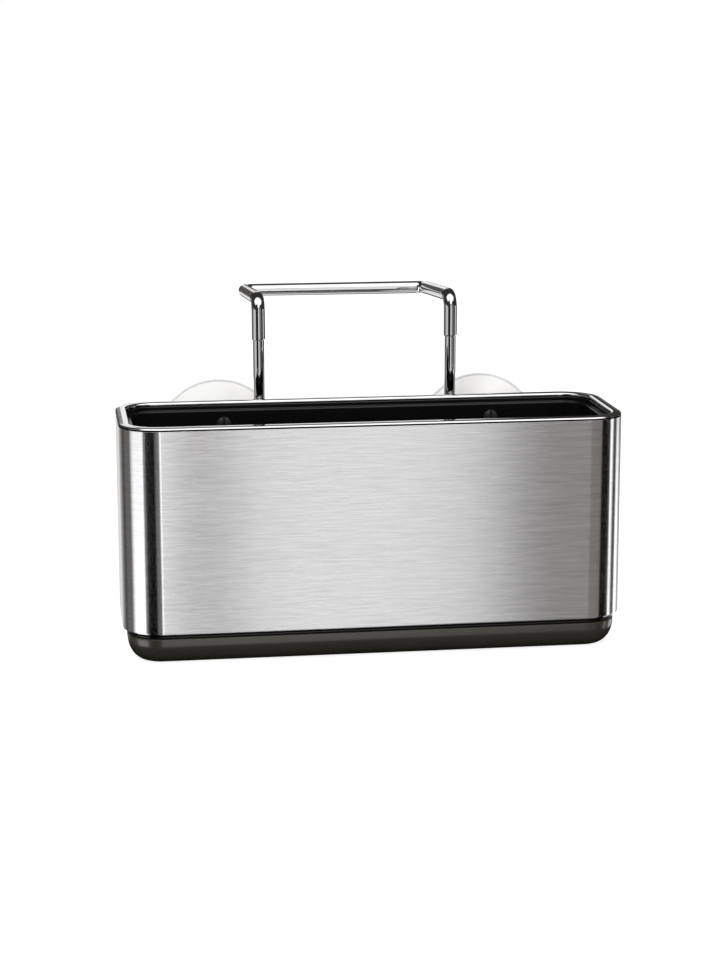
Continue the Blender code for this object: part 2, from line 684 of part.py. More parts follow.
def make_cup_nut(side_name, side, materials, caddy):
    """A hexagon nut round the stud, in the bracket's pocket."""
    hexagon = hexagon_outline(NUT_ACROSS_FLATS / 2)
    mesh_data = prism_mesh("cup_nut", hexagon, 0, NUT_THICKNESS)
    place = (side * CUP_SPACING / 2, BRACKET_FRONT + CLEARANCE, CUP_Z)
    nut = mesh_object("cup_nut_" + side_name, mesh_data, materials["hardware"], place, TO_BACK, caddy)
    bore_start = (place[0], place[1] - CUT_OVERRUN, place[2])
    bore_length = NUT_THICKNESS + 2 * CUT_OVERRUN
    bore_radius = STUD_RADIUS + CLEARANCE
    boolean(nut, round_tool("nut_bore_" + side_name, bore_radius, bore_length, bore_start, TO_BACK, caddy))
    return nut


def make_rod(side_name, side, materials, frame):
    """A rod from its end cap up to the loop, with a thinner spigot inside the loop's tube."""
    bottom = END_CAP_BOTTOM + END_CAP_FLOOR + CLEARANCE
    shoulder = TUBE_END - CLEARANCE - bottom
    tip = shoulder + SPIGOT_LENGTH
    section = [
        (0, 0),
        (ROD_RADIUS - ROD_TIP_CHAMFER, 0),
        (ROD_RADIUS, ROD_TIP_CHAMFER),
        (ROD_RADIUS, shoulder),
        (SPIGOT_RADIUS, shoulder),
        (SPIGOT_RADIUS, tip - ROD_TIP_CHAMFER),
        (SPIGOT_RADIUS - ROD_TIP_CHAMFER, tip),
        (0, tip),
    ]
    mesh_data = turned_mesh("rod", section, TURN_SIDES)
    place = (side * ROD_SPACING / 2, ROD_Y, bottom)
    return mesh_object("rod_" + side_name, mesh_data, materials["chrome"], place, parent=frame)


def make_end_cap(side_name, side, materials, frame):
    bore = ROD_RADIUS + CLEARANCE
    section = rounded([
        (0, 0, 0),
        (END_CAP_RADIUS, 0, END_CAP_EDGE_RADIUS),
        (END_CAP_RADIUS, END_CAP_LENGTH, 0),
        (bore, END_CAP_LENGTH, 0),
        (bore, END_CAP_FLOOR, 0),
        (0, END_CAP_FLOOR, 0),
    ])
    mesh_data = turned_mesh("rod_end_cap", section, TURN_SIDES)
    place = (side * ROD_SPACING / 2, ROD_Y, END_CAP_BOTTOM)
    return mesh_object("rod_end_cap_" + side_name, mesh_data, materials["black"], place, parent=frame)


def filleted_path(corners, radii):
    """Round the inner corners of a path in space with arcs of the given radii."""
    path = [corners[0]]
    for index, radius in enumerate(radii, start=1):
        here = corners[index]
        back = (corners[index - 1] - here).normalized()
        ahead = (corners[index + 1] - here).normalized()
        half_angle = back.angle(ahead) / 2
        centre = here + (back + ahead).normalized() * radius / math.sin(half_angle)
        start = here + back * radius / math.tan(half_angle) - centre
        end = here + ahead * radius / math.tan(half_angle) - centre
        sweep = start.angle(end)
        for step in range(BEND_STEPS + 1):
            part = sweep * step / BEND_STEPS
            path.append(centre + (start * math.sin(sweep - part) + end * math.sin(part)) / math.sin(sweep))
    path.append(corners[-1])
    return path


def make_hanger_loop(materials, frame):
    """A U of tube: up from the left rod, back over the sink's edge, across, and down to the right rod."""
    half = ROD_SPACING / 2
    crossbar_y = ROD_Y + LOOP_REACH
    crossbar_z = LOOP_TOP - CROSSBAR_DROP
    corners = [
        Vector((-half, ROD_Y, TUBE_END)),
        Vector((-half, ROD_Y, LOOP_TOP)),
        Vector((-half, crossbar_y, crossbar_z)),
        Vector((half, crossbar_y, crossbar_z)),
        Vector((half, ROD_Y, LOOP_TOP)),
        Vector((half, ROD_Y, TUBE_END)),
    ]
    radii = (LOOP_BEND_RADIUS, LOOP_CORNER_RADIUS, LOOP_CORNER_RADIUS, LOOP_BEND_RADIUS)
    path = filleted_path(corners, radii)
    curve = bpy.data.curves.new("hanger_loop_path", "CURVE")
    curve.dimensions = "3D"
    curve.bevel_depth = TUBE_RADIUS
    curve.bevel_resolution = TUBE_RESOLUTION
    curve.use_fill_caps = True
    spline = curve.splines.new("POLY")
    spline.points.add(len(path) - 1)
    for point, place in zip(spline.points, path):
        point.co = (*(place - frame.location), 1.0)
    loop = bpy.data.objects.new("hanger_loop", curve)
    bpy.context.scene.collection.objects.link(loop)
    loop.parent = frame
    curve.materials.append(materials["chrome"])
    return loop


def socket_loop(loop, frame):
    """Turn the loop's curve into a mesh and bore its two ends for the rods' spigots."""
    mesh_data = bpy.data.meshes.new_from_object(loop.evaluated_get(bpy.context.evaluated_depsgraph_get()))
    curve = loop.data
    bpy.data.objects.remove(loop, do_unlink=True)
    bpy.data.curves.remove(curve)
    solid = mesh_object("hanger_loop", mesh_data, None, frame.location, parent=frame)
    for side_name, side in SIDES:
        start = (side * ROD_SPACING / 2, ROD_Y, TUBE_END - CUT_OVERRUN)
        length = CUT_OVERRUN + SPIGOT_LENGTH + CLEARANCE
        radius = SPIGOT_RADIUS + CLEARANCE
        boolean(solid, round_tool("socket_" + side_name, radius, length, start, (0, 0, 0), frame))
    return solid


def build_part():
    clear_scene()
    materials = make_materials()
    caddy = body_empty("caddy_body", (0, 0, TRAY_TOP))
    frame = body_empty("wire_frame_body", (0, ROD_Y, BRACKET_TOP))
    make_drip_tray(materials)
    make_tray_seal(materials, caddy)
    make_liner(materials, caddy)
    make_sleeve(materials, caddy)
    make_bracket(materials, caddy)
    for side_name, side in SIDES:
        make_friction_pad(side_name, side, materials, caddy)
        make_bracket_screw(side_name, side, materials, caddy)
        make_suction_cup(side_name, side, materials, caddy)
        make_cup_stud(side_name, side, materials, caddy)
        make_cup_nut(side_name, side, materials, caddy)
        make_rod(side_name, side, materials, frame)
        make_end_cap(side_name, side, materials, frame)
    socket_loop(make_hanger_loop(materials, frame), frame)


build_part()
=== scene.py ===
import math

import bmesh
import bpy
from mathutils import Matrix, Vector


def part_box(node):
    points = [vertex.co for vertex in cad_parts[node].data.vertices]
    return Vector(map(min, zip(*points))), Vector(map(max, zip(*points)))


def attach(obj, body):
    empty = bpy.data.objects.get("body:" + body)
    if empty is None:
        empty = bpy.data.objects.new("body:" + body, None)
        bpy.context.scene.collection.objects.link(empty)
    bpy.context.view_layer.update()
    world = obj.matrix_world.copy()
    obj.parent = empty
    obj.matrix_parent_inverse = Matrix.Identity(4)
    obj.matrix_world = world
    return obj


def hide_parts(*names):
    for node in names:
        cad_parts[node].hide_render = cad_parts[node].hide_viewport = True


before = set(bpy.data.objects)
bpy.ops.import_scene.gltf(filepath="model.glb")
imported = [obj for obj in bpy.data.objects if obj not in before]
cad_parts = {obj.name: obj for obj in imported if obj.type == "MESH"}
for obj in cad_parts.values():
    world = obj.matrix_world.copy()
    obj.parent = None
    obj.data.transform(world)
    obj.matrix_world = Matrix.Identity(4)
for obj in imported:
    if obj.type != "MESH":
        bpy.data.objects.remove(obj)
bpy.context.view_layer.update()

# Looks of a sink organizer: a brushed steel sleeve with a polished rim round a black liner, on a black
# drip tray, with a chromed wire hanger, a moulded bracket and two suction cups behind it.
# Units are metres, +Z is up, -Y is the front.

SIDES = (("left", -1), ("right", 1))
CLEARANCE = 0.0003
CUT_OVERRUN = 0.0010

# Body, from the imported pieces
SLEEVE_LOW, SLEEVE_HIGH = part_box("steel_sleeve")
TRAY_LOW, TRAY_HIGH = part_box("drip_tray")
LINER_LOW, LINER_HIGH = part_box("inner_liner")
BODY_WIDTH = SLEEVE_HIGH.x - SLEEVE_LOW.x
BODY_DEPTH = SLEEVE_HIGH.y - SLEEVE_LOW.y
BODY_CORNER_RADIUS = 0.0190
MIN_CORNER_RADIUS = 0.0020
BACK_WALL = SLEEVE_HIGH.y
SLEEVE_BOTTOM = SLEEVE_LOW.z
RIM_TOP = SLEEVE_HIGH.z

# Steel sleeve
SHEET = 0.0008
SHEET_EDGE_RADIUS = 0.0001
SHEET_EDGE_HEIGHT = 0.0005
SHEET_EDGE_WIDTH = 0.00015
RIM_WIDTH = 0.0054
RIM_THICKNESS = 0.0016
RIM_BOTTOM = RIM_TOP - RIM_THICKNESS
RIM_SLOPE_WIDTH = 0.0006
RIM_SLOPE_DROP = 0.00085
RIM_SHOULDER_WIDTH = 0.0024
RIM_SHOULDER_DROP = 0.00025
RIM_BEND_RADIUS = 0.0005
RIM_HEM_WIDTH = 0.0016
RIM_HEM_HEIGHT = 0.0014
RIM_LIP_RADIUS = 0.00005
SEAM_DROP = 0.0009
SEAM_TOP = RIM_TOP - SEAM_DROP
SEAM_HEIGHT = 0.0008
SEAM_DEPTH = 0.0003

# Drip tray
TRAY_INSET = TRAY_LOW.x - SLEEVE_LOW.x
TRAY_TOP = TRAY_HIGH.z
TRAY_WALL = 0.0020
TRAY_FLOOR = 0.0020
TRAY_EDGE_WIDTH = 0.0085
TRAY_STRAIGHT_HEIGHT = 0.0016
TRAY_EDGE_HEIGHT = TRAY_TOP - TRAY_STRAIGHT_HEIGHT
TRAY_LIP_RADIUS = 0.0006
TRAY_LEDGE_RADIUS = 0.0003
TRAY_LEDGE_TOP = 0.0088
TRAY_LEDGE_WIDTH = 0.0030
TRAY_INNER_FILLET = 0.0020
FLOOR_CAP_MARGIN = 0.0040

# Liner: foot ring, skirt, walls, collar and floor
SKIRT_BOTTOM = LINER_LOW.z
LINER_TOP = LINER_HIGH.z
TRAY_SEAM_HEIGHT = 0.0006
FOOT_RING_INSET = 0.0021
FOOT_RING_HEIGHT = 0.0008
FOOT_RING_BOTTOM = TRAY_TOP + TRAY_SEAM_HEIGHT
FOOT_RING_TOP = FOOT_RING_BOTTOM + FOOT_RING_HEIGHT
FOOT_RING_RADIUS = 0.0003
SHADOW_DEPTH = 0.0025
SKIRT_GAP = 0.0007
SKIRT_INSET = TRAY_INSET + TRAY_WALL + SKIRT_GAP
SKIRT_WALL = 0.0016
LINER_WALL = 0.0020
LINER_FLOOR = 0.0020
LINER_FLOOR_BOTTOM = SLEEVE_BOTTOM - CLEARANCE
LINER_FLOOR_TOP = LINER_FLOOR_BOTTOM + LINER_FLOOR
LINER_DRAFT = 0.0006
LINER_FLOOR_FILLET = 0.0030
LOCATING_BAND_HEIGHT = 0.0048
BAND_SLOPE_HEIGHT = 0.0025
COLLAR_HEIGHT = 0.0051
COLLAR_SLOPE_HEIGHT = 0.0020
LEDGE_DROP = 0.0024
LEDGE_WIDTH = 0.0020
LEDGE_RADIUS = 0.0006
LEDGE_FILLET = 0.0003
LINER_BAND_INSET = SHEET + CLEARANCE
COLLAR_INNER_INSET = RIM_WIDTH + CLEARANCE
LINER_INNER_INSET = COLLAR_INNER_INSET + LEDGE_WIDTH
LINER_OUTER_INSET = LINER_INNER_INSET - LINER_WALL
DRAIN_SLOT_LENGTH = 0.0200
DRAIN_SLOT_WIDTH = 0.0030
DRAIN_SLOT_PITCH = 0.0260
DRAIN_ROW_PITCH = 0.0120
DRAIN_ROWS = 3
DRAIN_CHAMFER = 0.0004

# Wire frame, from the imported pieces
LOOP_LOW, LOOP_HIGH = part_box("hanger_loop")
ROD_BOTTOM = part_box("rod_right")[0].z
CAP_LOW, CAP_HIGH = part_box("rod_end_cap_right")
TUBE_RADIUS = 0.0034
TUBE_BORE_RADIUS = 0.0027
TUBE_BORE_DEPTH = 0.0030
TUBE_TAPER_HEIGHT = 0.0007
TUBE_TAPER_WIDTH = 0.0005
ROD_RADIUS = 0.00285
ROD_TIP_CHAMFER = 0.0004
ROD_SHOULDER_RADIUS = 0.00005
SPIGOT_RADIUS = 0.0023
HALF_ROD_SPACING = LOOP_HIGH.x - TUBE_RADIUS
ROD_Y = LOOP_LOW.y + TUBE_RADIUS
TUBE_END = LOOP_LOW.z
LOOP_ABOVE_RIM = 0.0500
LOOP_TOP = RIM_TOP + LOOP_ABOVE_RIM
CROSSBAR_DROP = 0.0052
CROSSBAR_Y = LOOP_HIGH.y - TUBE_RADIUS
CROSSBAR_Z = LOOP_TOP - CROSSBAR_DROP
LOOP_BEND_RADIUS = 0.0070
LOOP_CORNER_RADIUS = 0.0050
END_CAP_RADIUS = 0.0037
END_CAP_FLOOR = 0.0020
END_CAP_EDGE_RADIUS = 0.0012

# Bracket, cups and screws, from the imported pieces
BRACKET_LOW, BRACKET_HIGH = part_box("rear_bracket")
CUP_LOW, CUP_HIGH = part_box("suction_cup_right")
SCREW_LOW, SCREW_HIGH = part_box("bracket_screw_right")
BRACKET_WEB_THICKNESS = 0.0052
BRACKET_POD_REACH = 0.0105
BRACKET_POD_EDGE = HALF_ROD_SPACING - BRACKET_POD_REACH
BRACKET_POD_SLOPE = 0.0040
BRACKET_EDGE_BEVEL = 0.0008
BRACKET_BEVEL_SEGMENTS = 3
BRACKET_RECESS_DEPTH = 0.0016
BRACKET_FRAME_WIDTH = 0.0042
BRACKET_RIB_WIDTH = 0.0018
BRACKET_RIBS = 3
NUT_SIDES = 6
CUP_X = (CUP_LOW.x + CUP_HIGH.x) / 2
CUP_Z = (CUP_LOW.z + CUP_HIGH.z) / 2
CUP_RADIUS = (CUP_HIGH.z - CUP_LOW.z) / 2
CUP_LENGTH = CUP_HIGH.y - CUP_LOW.y
CUP_NECK_RADIUS = 0.0080
CUP_NECK_LENGTH = 0.0050
CUP_NECK_EDGE_RADIUS = 0.0010
CUP_LIP_WIDTH = 0.0030
CUP_LIP_THICKNESS = 0.0011
CUP_LIP_EDGE_RADIUS = CUP_LIP_THICKNESS / 3
CUP_BEAD_WIDTH = 0.0012
CUP_BEAD_HEIGHT = 0.0003
CUP_HOLLOW_DEPTH = 0.0095
CUP_OUTER_POWER = 1.25
CUP_HOLLOW_POWER = 1.6
CUP_BORE_RADIUS = 0.0028
CUP_BORE_DEPTH = 0.0060
SCREW_X = (SCREW_LOW.x + SCREW_HIGH.x) / 2
SCREW_Z = (SCREW_LOW.z + SCREW_HIGH.z) / 2
SCREW_HEAD_RADIUS = 0.0037
SCREW_HEAD_HEIGHT = 0.0020
SCREW_HEAD_EDGE = 0.0005
SCREW_SHANK_RADIUS = 0.0019
SCREW_SLOT_WIDTH = 0.0014
SCREW_SLOT_DEPTH = 0.0012

# Mesh fineness, and angles
CORNER_STEPS = 32
ARC_STEPS = 6
RIM_STEPS = 16
ELLIPSE_STEPS = 20
BEND_STEPS = 24
TUBE_SIDES = 64
TURN_SIDES = 64
CUP_SIDES = 128
CUP_STEPS = 32
SLOT_END_STEPS = 10
SUPPORT = 0.0002
SHARP_ANGLE = math.radians(35)
QUARTER_TURN = math.pi / 2

# Camera, from the photograph's edges: a long lens a little left of and above the middle of the front
PHOTO_WIDTH_PX = 720
PHOTO_HEIGHT_PX = 960
SENSOR_MM = 36
FOCAL_PX = 2240.9
CAMERA_YAW = math.radians(8.0476)
CAMERA_PITCH = math.radians(11.758)
CAMERA_ROLL = math.radians(-0.0844)
CAMERA_DISTANCE = 1.1126
AIM = Vector((0, 0, 0.0606))
AIM_X_PX = 367.2
AIM_Y_PX = 519.0
CLIP_NEAR = 0.01
CLIP_FAR = 50

# Rotation that turns a local +Z axis to the back of the part, +Y
TO_BACK = (-QUARTER_TURN, 0, 0)


# Nodes


def add(tree, kind, **settings):
    node = tree.nodes.new(kind)
    for name, value in settings.items():
        setattr(node, name, value)
    return node


def feed(tree, socket, value):
    """Link a socket to another node's output, or set its value."""
    if isinstance(value, bpy.types.NodeSocket):
        tree.links.new(value, socket)
    else:
        socket.default_value = value


def feed_node(tree, node, values):
    """Feed several sockets of a node, by name."""
    for name, value in values.items():
        feed(tree, node.inputs[name], value)


def maths(tree, operation, *values):
    node = add(tree, "ShaderNodeMath", operation=operation)
    for socket, value in zip(node.inputs, values):
        feed(tree, socket, value)
    return node.outputs[0]


def rise(tree, value, centre, width):
    """Rise smoothly from 0 to 1 while a value passes a centre."""
    node = add(tree, "ShaderNodeMapRange", interpolation_type="SMOOTHSTEP")
    feed_node(tree, node, {"Value": value, "From Min": centre - width / 2, "From Max": centre + width / 2})
    return node.outputs[0]


def remap(tree, value, low, high):
    """Carry a value from 0 to 1 over to a range."""
    node = add(tree, "ShaderNodeMapRange")
    feed_node(tree, node, {"Value": value, "To Min": low, "To Max": high})
    return node.outputs[0]


def blend(tree, share, first, second):
    node = add(tree, "ShaderNodeMix")
    feed(tree, node.inputs[0], share)
    feed(tree, node.inputs[2], first)
    feed(tree, node.inputs[3], second)
    return node.outputs[0]


def blend_colour(tree, share, first, second):
    node = add(tree, "ShaderNodeMix", data_type="RGBA")
    feed(tree, node.inputs[0], share)
    feed(tree, node.inputs[6], first)
    feed(tree, node.inputs[7], second)
    return node.outputs[2]


def noise(tree, vector, size, detail=2.0):
    """Noise whose grains are as large as a vector of lengths in metres."""
    mapping = add(tree, "ShaderNodeMapping")
    feed_node(tree, mapping, {"Vector": vector, "Scale": [1 / length for length in size]})
    texture = add(tree, "ShaderNodeTexNoise")
    feed_node(tree, texture, {"Vector": mapping.outputs[0], "Scale": 1.0, "Detail": detail})
    return texture.outputs["Fac"]


def bump(tree, height, depth, strength):
    node = add(tree, "ShaderNodeBump")
    feed_node(tree, node, {"Strength": strength, "Distance": depth, "Height": height})
    return node.outputs[0]


def new_material(name):
    material = bpy.data.materials.new(name)
    material.use_nodes = True
    tree = material.node_tree
    return material, tree, tree.nodes["Principled BSDF"]


def object_place(tree):
    return add(tree, "ShaderNodeTexCoord").outputs["Object"]


# Materials


# Brush lines of the sheet, from coarse to fine: the length over which one varies, their pitch, and their
# share where they are mixed with the coarser ones
BRUSH_LINES = (
    (0.0210, 0.00035, 1.0),
    (0.0075, 0.00022, 0.4),
    (0.0022, 0.00010, 0.3),
)
# Step in the noise from one line to the next, so that neighbours have nothing in common
ROW_STRIDE = 7.31
SHEET_DARK = (0.475, 0.475, 0.475, 1)
SHEET_LIGHT = (0.935, 0.935, 0.935, 1)
SHEET_CLOUD = (0.0500, 0.0200, 1)
SHEET_CLOUD_SHARE = 0.3
SHEET_ROUGHNESS = (0.15, 0.23)
SHEET_GRAIN_DEPTH = 0.000005
SHEET_BUMP = 0.3
SHEET_TURN = 0.25
PLASTIC_GRAIN = (0.00045, 0.00045, 0.00045)
PLASTIC_FLOW = (0.0400, 0.0250, 0.0120)
PLASTIC_FLOW_SHARE = 0.5
PLASTIC_BUMP = 0.5
METAL = {"Metallic": 1.0}


def brush_rows(tree, along, across, length, pitch):
    """Straight lines of a pitch across the grain. Each varies by itself over a length along it."""
    row = maths(tree, "FLOOR", maths(tree, "DIVIDE", across, pitch))
    place = add(tree, "ShaderNodeCombineXYZ")
    feed(tree, place.inputs[0], maths(tree, "DIVIDE", along, length))
    feed(tree, place.inputs[1], maths(tree, "MULTIPLY", row, ROW_STRIDE))
    texture = add(tree, "ShaderNodeTexNoise", noise_dimensions="2D")
    feed_node(tree, texture, {"Vector": place.outputs[0], "Scale": 1.0, "Detail": 1.0})
    return texture.outputs["Fac"]


def brushed_steel():
    """Stainless sheet, brushed along the body's outline, so that it spreads its reflections upright."""
    material, tree, shader = new_material("brushed_steel_finish")
    uv = add(tree, "ShaderNodeUVMap", uv_map="wrap").outputs[0]
    parts = add(tree, "ShaderNodeSeparateXYZ")
    feed(tree, parts.inputs[0], uv)
    along, across = parts.outputs[0], parts.outputs[1]
    grain = 0
    for length, pitch, share in BRUSH_LINES:
        grain = blend(tree, share, grain, brush_rows(tree, along, across, length, pitch))
    clouded = blend(tree, SHEET_CLOUD_SHARE, grain, noise(tree, uv, SHEET_CLOUD))
    tangent = add(tree, "ShaderNodeTangent", direction_type="UV_MAP", uv_map="wrap")
    feed_node(tree, shader, {
        "Base Color": blend_colour(tree, grain, SHEET_DARK, SHEET_LIGHT),
        "Metallic": 1.0,
        "Roughness": remap(tree, clouded, *SHEET_ROUGHNESS),
        "Anisotropic": 1.0,
        "Anisotropic Rotation": SHEET_TURN,
        "Tangent": tangent.outputs[0],
        "Normal": bump(tree, grain, SHEET_GRAIN_DEPTH, SHEET_BUMP),
    })
    return material


def clouded_finish(name, size, dark, light, roughness, plain, detail=2.0, depth=0, strength=0):
    """A material whose tint, gloss and surface vary over clouds of a size, with some sockets kept plain."""
    material, tree, shader = new_material(name)
    cloud = noise(tree, object_place(tree), (size, size, size), detail)
    feed_node(tree, shader, {
        "Base Color": blend_colour(tree, cloud, (*dark, 1), (*light, 1)),
        "Roughness": remap(tree, cloud, *roughness),
        **plain,
    })
    if depth:
        feed(tree, shader.inputs["Normal"], bump(tree, cloud, depth, strength))
    return material


def polished_steel():
    return clouded_finish("polished_steel_finish", size=0.0060, dark=(0.74, 0.735, 0.73),
                          light=(0.80, 0.80, 0.80), roughness=(0.05, 0.11), plain=METAL,
                          detail=3.0, depth=0.00001, strength=0.2)


def chrome():
    return clouded_finish("chrome_finish", size=0.0040, dark=(0.67, 0.67, 0.67),
                          light=(0.73, 0.73, 0.73), roughness=(0.03, 0.07), plain=METAL,
                          detail=3.0, depth=0.00001, strength=0.1)


def hardware_steel():
    return clouded_finish("hardware_steel_finish", size=0.0008, dark=(0.52, 0.52, 0.50),
                          light=(0.68, 0.67, 0.64), roughness=(0.22, 0.40), plain=METAL,
                          detail=4.0, depth=0.00003, strength=0.3)


def seam_painted_shade():
    """Painted shade: a near-black finish for the unlit inside of a seam, also laid on the floor round the
    tray.
    """
    return clouded_finish("seam_shadow_finish", size=0.0010, dark=(0.001, 0.001, 0.001),
                          light=(0.003, 0.003, 0.003), roughness=(0.8, 0.9),
                          plain={"Specular IOR Level": 0.1})


def pale_vinyl():
    """Soft, milky translucent vinyl."""
    return clouded_finish("pale_vinyl_finish", size=0.0200, dark=(0.93, 0.922, 0.912),
                          light=(0.95, 0.944, 0.934), roughness=(0.26, 0.30),
                          plain={"Transmission Weight": 0.12, "IOR": 1.70},
                          detail=1.0, depth=0.00001, strength=0.1)


def moulded_plastic(name, dark, light, roughness, depth, index=1.5):
    """Moulded plastic with a fine spark-eroded texture and faint flow marks."""
    material, tree, shader = new_material(name)
    place = object_place(tree)
    grain = noise(tree, place, PLASTIC_GRAIN, detail=3.0)
    flow = noise(tree, place, PLASTIC_FLOW)
    feed_node(tree, shader, {
        "Base Color": blend_colour(tree, flow, (*dark, 1), (*light, 1)),
        "Roughness": remap(tree, blend(tree, PLASTIC_FLOW_SHARE, grain, flow), *roughness),
        "IOR": index,
        "Normal": bump(tree, grain, depth, PLASTIC_BUMP),
    })
    return material


def tray_plastic():
    return moulded_plastic("tray_plastic_finish", dark=(0.029, 0.027, 0.020), light=(0.035, 0.033, 0.026),
                           roughness=(0.20, 0.24), depth=0.00001, index=1.66)


def liner_plastic():
    return moulded_plastic("liner_plastic_finish", dark=(0.002, 0.002, 0.002), light=(0.004, 0.004, 0.004),
                           roughness=(0.20, 0.26), depth=0.00001)


def part_plastic():
    return moulded_plastic("part_plastic_finish", dark=(0.010, 0.010, 0.010), light=(0.018, 0.018, 0.018),
                           roughness=(0.34, 0.44), depth=0.00003)


def seal_rubber():
    return moulded_plastic("seal_rubber_finish", dark=(0.03, 0.03, 0.03), light=(0.05, 0.05, 0.05),
                           roughness=(0.7, 0.85), depth=0.00003)


def grey_nylon():
    return moulded_plastic("grey_nylon_finish", dark=(0.30, 0.30, 0.31), light=(0.38, 0.38, 0.39),
                           roughness=(0.4, 0.5), depth=0.00002)


# Meshes


def mesh_from(build, name):
    """Run a function that fills a bmesh, and return the mesh with its faces pointing out."""
    work = bmesh.new()
    build(work)
    bmesh.ops.recalc_face_normals(work, faces=work.faces)
    data = bpy.data.meshes.new(name)
    work.to_mesh(data)
    work.free()
    return data


def mesh_object(name, data, material=None, location=(0, 0, 0), rotation=(0, 0, 0)):
    data.shade_smooth()
    data.set_sharp_from_angle(angle=SHARP_ANGLE)
    thing = bpy.data.objects.new(name, data)
    bpy.context.scene.collection.objects.link(thing)
    thing.location = location
    thing.rotation_euler = rotation
    if material:
        data.materials.append(material)
    return thing


def finish_piece(thing, body, slot_name, *nodes):
    """Let a piece ride on its body and hide the CAD nodes whose place it takes. The slot name is not used.
    """
    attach(thing, body)
    if nodes:
        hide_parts(*nodes)


def bake_modifiers(thing):
    """Apply an object's modifiers to its mesh."""
    graph = bpy.context.evaluated_depsgraph_get()
    data = bpy.data.meshes.new_from_object(thing.evaluated_get(graph))
    thing.modifiers.clear()
    thing.data = data


def cut(target, cutters):
    """Cut an object with others, apply the cuts and remove the cutters."""
    for cutter in cutters:
        modifier = target.modifiers.new("cut", "BOOLEAN")
        modifier.operation = "DIFFERENCE"
        modifier.solver = "EXACT"
        modifier.object = cutter
    bake_modifiers(target)
    for cutter in cutters:
        bpy.data.objects.remove(cutter, do_unlink=True)
    target.data.set_sharp_from_angle(angle=SHARP_ANGLE)


def soften(target):
    """Bevel the bracket's edges."""
    modifier = target.modifiers.new("edges", "BEVEL")
    modifier.width = BRACKET_EDGE_BEVEL
    modifier.segments = BRACKET_BEVEL_SEGMENTS
    modifier.limit_method = "ANGLE"
    bake_modifiers(target)


def rounded(points, steps=ARC_STEPS):
    """Replace each (a, b, radius) corner by an arc, with a supporting point beside each of its ends."""
    result = []
    last = len(points) - 1
    for index, (a, b, radius) in enumerate(points):
        here = Vector((a, b))
        if radius == 0 or index in (0, last):
            result.append((a, b))
            continue
        back = Vector(points[index - 1][:2]) - here
        ahead = Vector(points[index + 1][:2]) - here
        to_back, to_ahead = back.normalized(), ahead.normalized()
        half_angle = back.angle(ahead) / 2
        reach = min(radius / math.tan(half_angle), back.length / 2, ahead.length / 2)
        limited = reach * math.tan(half_angle)
        centre = here + (to_back + to_ahead).normalized() * limited / math.sin(half_angle)
        start = here + to_back * reach - centre
        end = here + to_ahead * reach - centre
        sweep = start.angle_signed(end)
        if back.length / 2 > reach + SUPPORT:
            result.append(tuple(here + to_back * (reach + SUPPORT)))
        for step in range(steps + 1):
            turn = -sweep * step / steps
            x = start.x * math.cos(turn) - start.y * math.sin(turn)
            y = start.x * math.sin(turn) + start.y * math.cos(turn)
            result.append((centre.x + x, centre.y + y))
        if ahead.length / 2 > reach + SUPPORT:
            result.append(tuple(here + to_ahead * (reach + SUPPORT)))
    return result


def quarter_ellipse(start, end):
    """Points (inset, height) from one place to another, level at the first and upright at the second."""
    points = []
    for step in range(ELLIPSE_STEPS + 1):
        angle = QUARTER_TURN * step / ELLIPSE_STEPS
        inset = start[0] + (end[0] - start[0]) * math.sin(angle)
        points.append((inset, end[1] + (start[1] - end[1]) * math.cos(angle)))
    return points


def body_outline(inset):
    """The body's outline seen from above, drawn in all round, from the middle of the back to the left."""
    radius = max(BODY_CORNER_RADIUS - inset, MIN_CORNER_RADIUS)
    half_x = BODY_WIDTH / 2 - inset - radius
    half_y = BODY_DEPTH / 2 - inset - radius
    points = [(0, half_y + radius)]
    for quarter, (side_x, side_y) in enumerate(((-1, 1), (-1, -1), (1, -1), (1, 1)), start=1):
        centre = Vector((side_x * half_x, side_y * half_y))
        for step in range(CORNER_STEPS + 1):
            angle = QUARTER_TURN * (quarter + step / CORNER_STEPS)
            spoke = Vector((math.cos(angle), math.sin(angle)))
            along = Vector((-spoke.y, spoke.x)) * SUPPORT
            place = centre + spoke * radius
            if step == 0:
                points.append(tuple(place - along))
            points.append(tuple(place))
            if step == CORNER_STEPS:
                points.append(tuple(place + along))
    return points


def outline_lengths():
    """Distance along the body's outline at each of its points, and once more at the start."""
    points = body_outline(0)
    lengths = [0]
    for first, second in zip(points, points[1:] + points[:1]):
        lengths.append(lengths[-1] + (Vector(second) - Vector(first)).length)
    return lengths


def add_ring(work, outline, height):
    return [work.verts.new((x, y, height)) for x, y in outline]


def wrapped_piece(name, section, material, is_ring=True):
    """Carry a section of (inset, height) points round the body, with a UV map in metres."""
    def build(work):
        rings = [add_ring(work, body_outline(inset), height) for inset, height in section]
        layer = work.loops.layers.uv.new("wrap")
        along = outline_lengths()
        across = 0
        for lower in range(len(section) if is_ring else len(section) - 1):
            upper = (lower + 1) % len(section)
            step = (Vector(section[upper]) - Vector(section[lower])).length
            low, high = rings[lower], rings[upper]
            for index in range(len(low)):
                following = (index + 1) % len(low)
                face = work.faces.new((low[index], low[following], high[following], high[index]))
                marks = ((along[index], across), (along[index + 1], across),
                         (along[index + 1], across + step), (along[index], across + step))
                for corner, mark in zip(face.loops, marks):
                    corner[layer].uv = mark
            across += step
        if not is_ring:
            work.faces.new(rings[0])
            work.faces.new(rings[-1])
    return mesh_object(name, mesh_from(build, name), material)


def join_rings(work, rings):
    """Join each ring of vertices to the next by faces. A ring of one vertex is a tip."""
    for lower, upper in zip(rings, rings[1:]):
        tip, ring = sorted((lower, upper), key=len)
        for index, corner in enumerate(ring):
            following = (index + 1) % len(ring)
            if len(tip) == 1:
                work.faces.new((tip[0], corner, ring[following]))
            else:
                work.faces.new((lower[index], lower[following], upper[following], upper[index]))


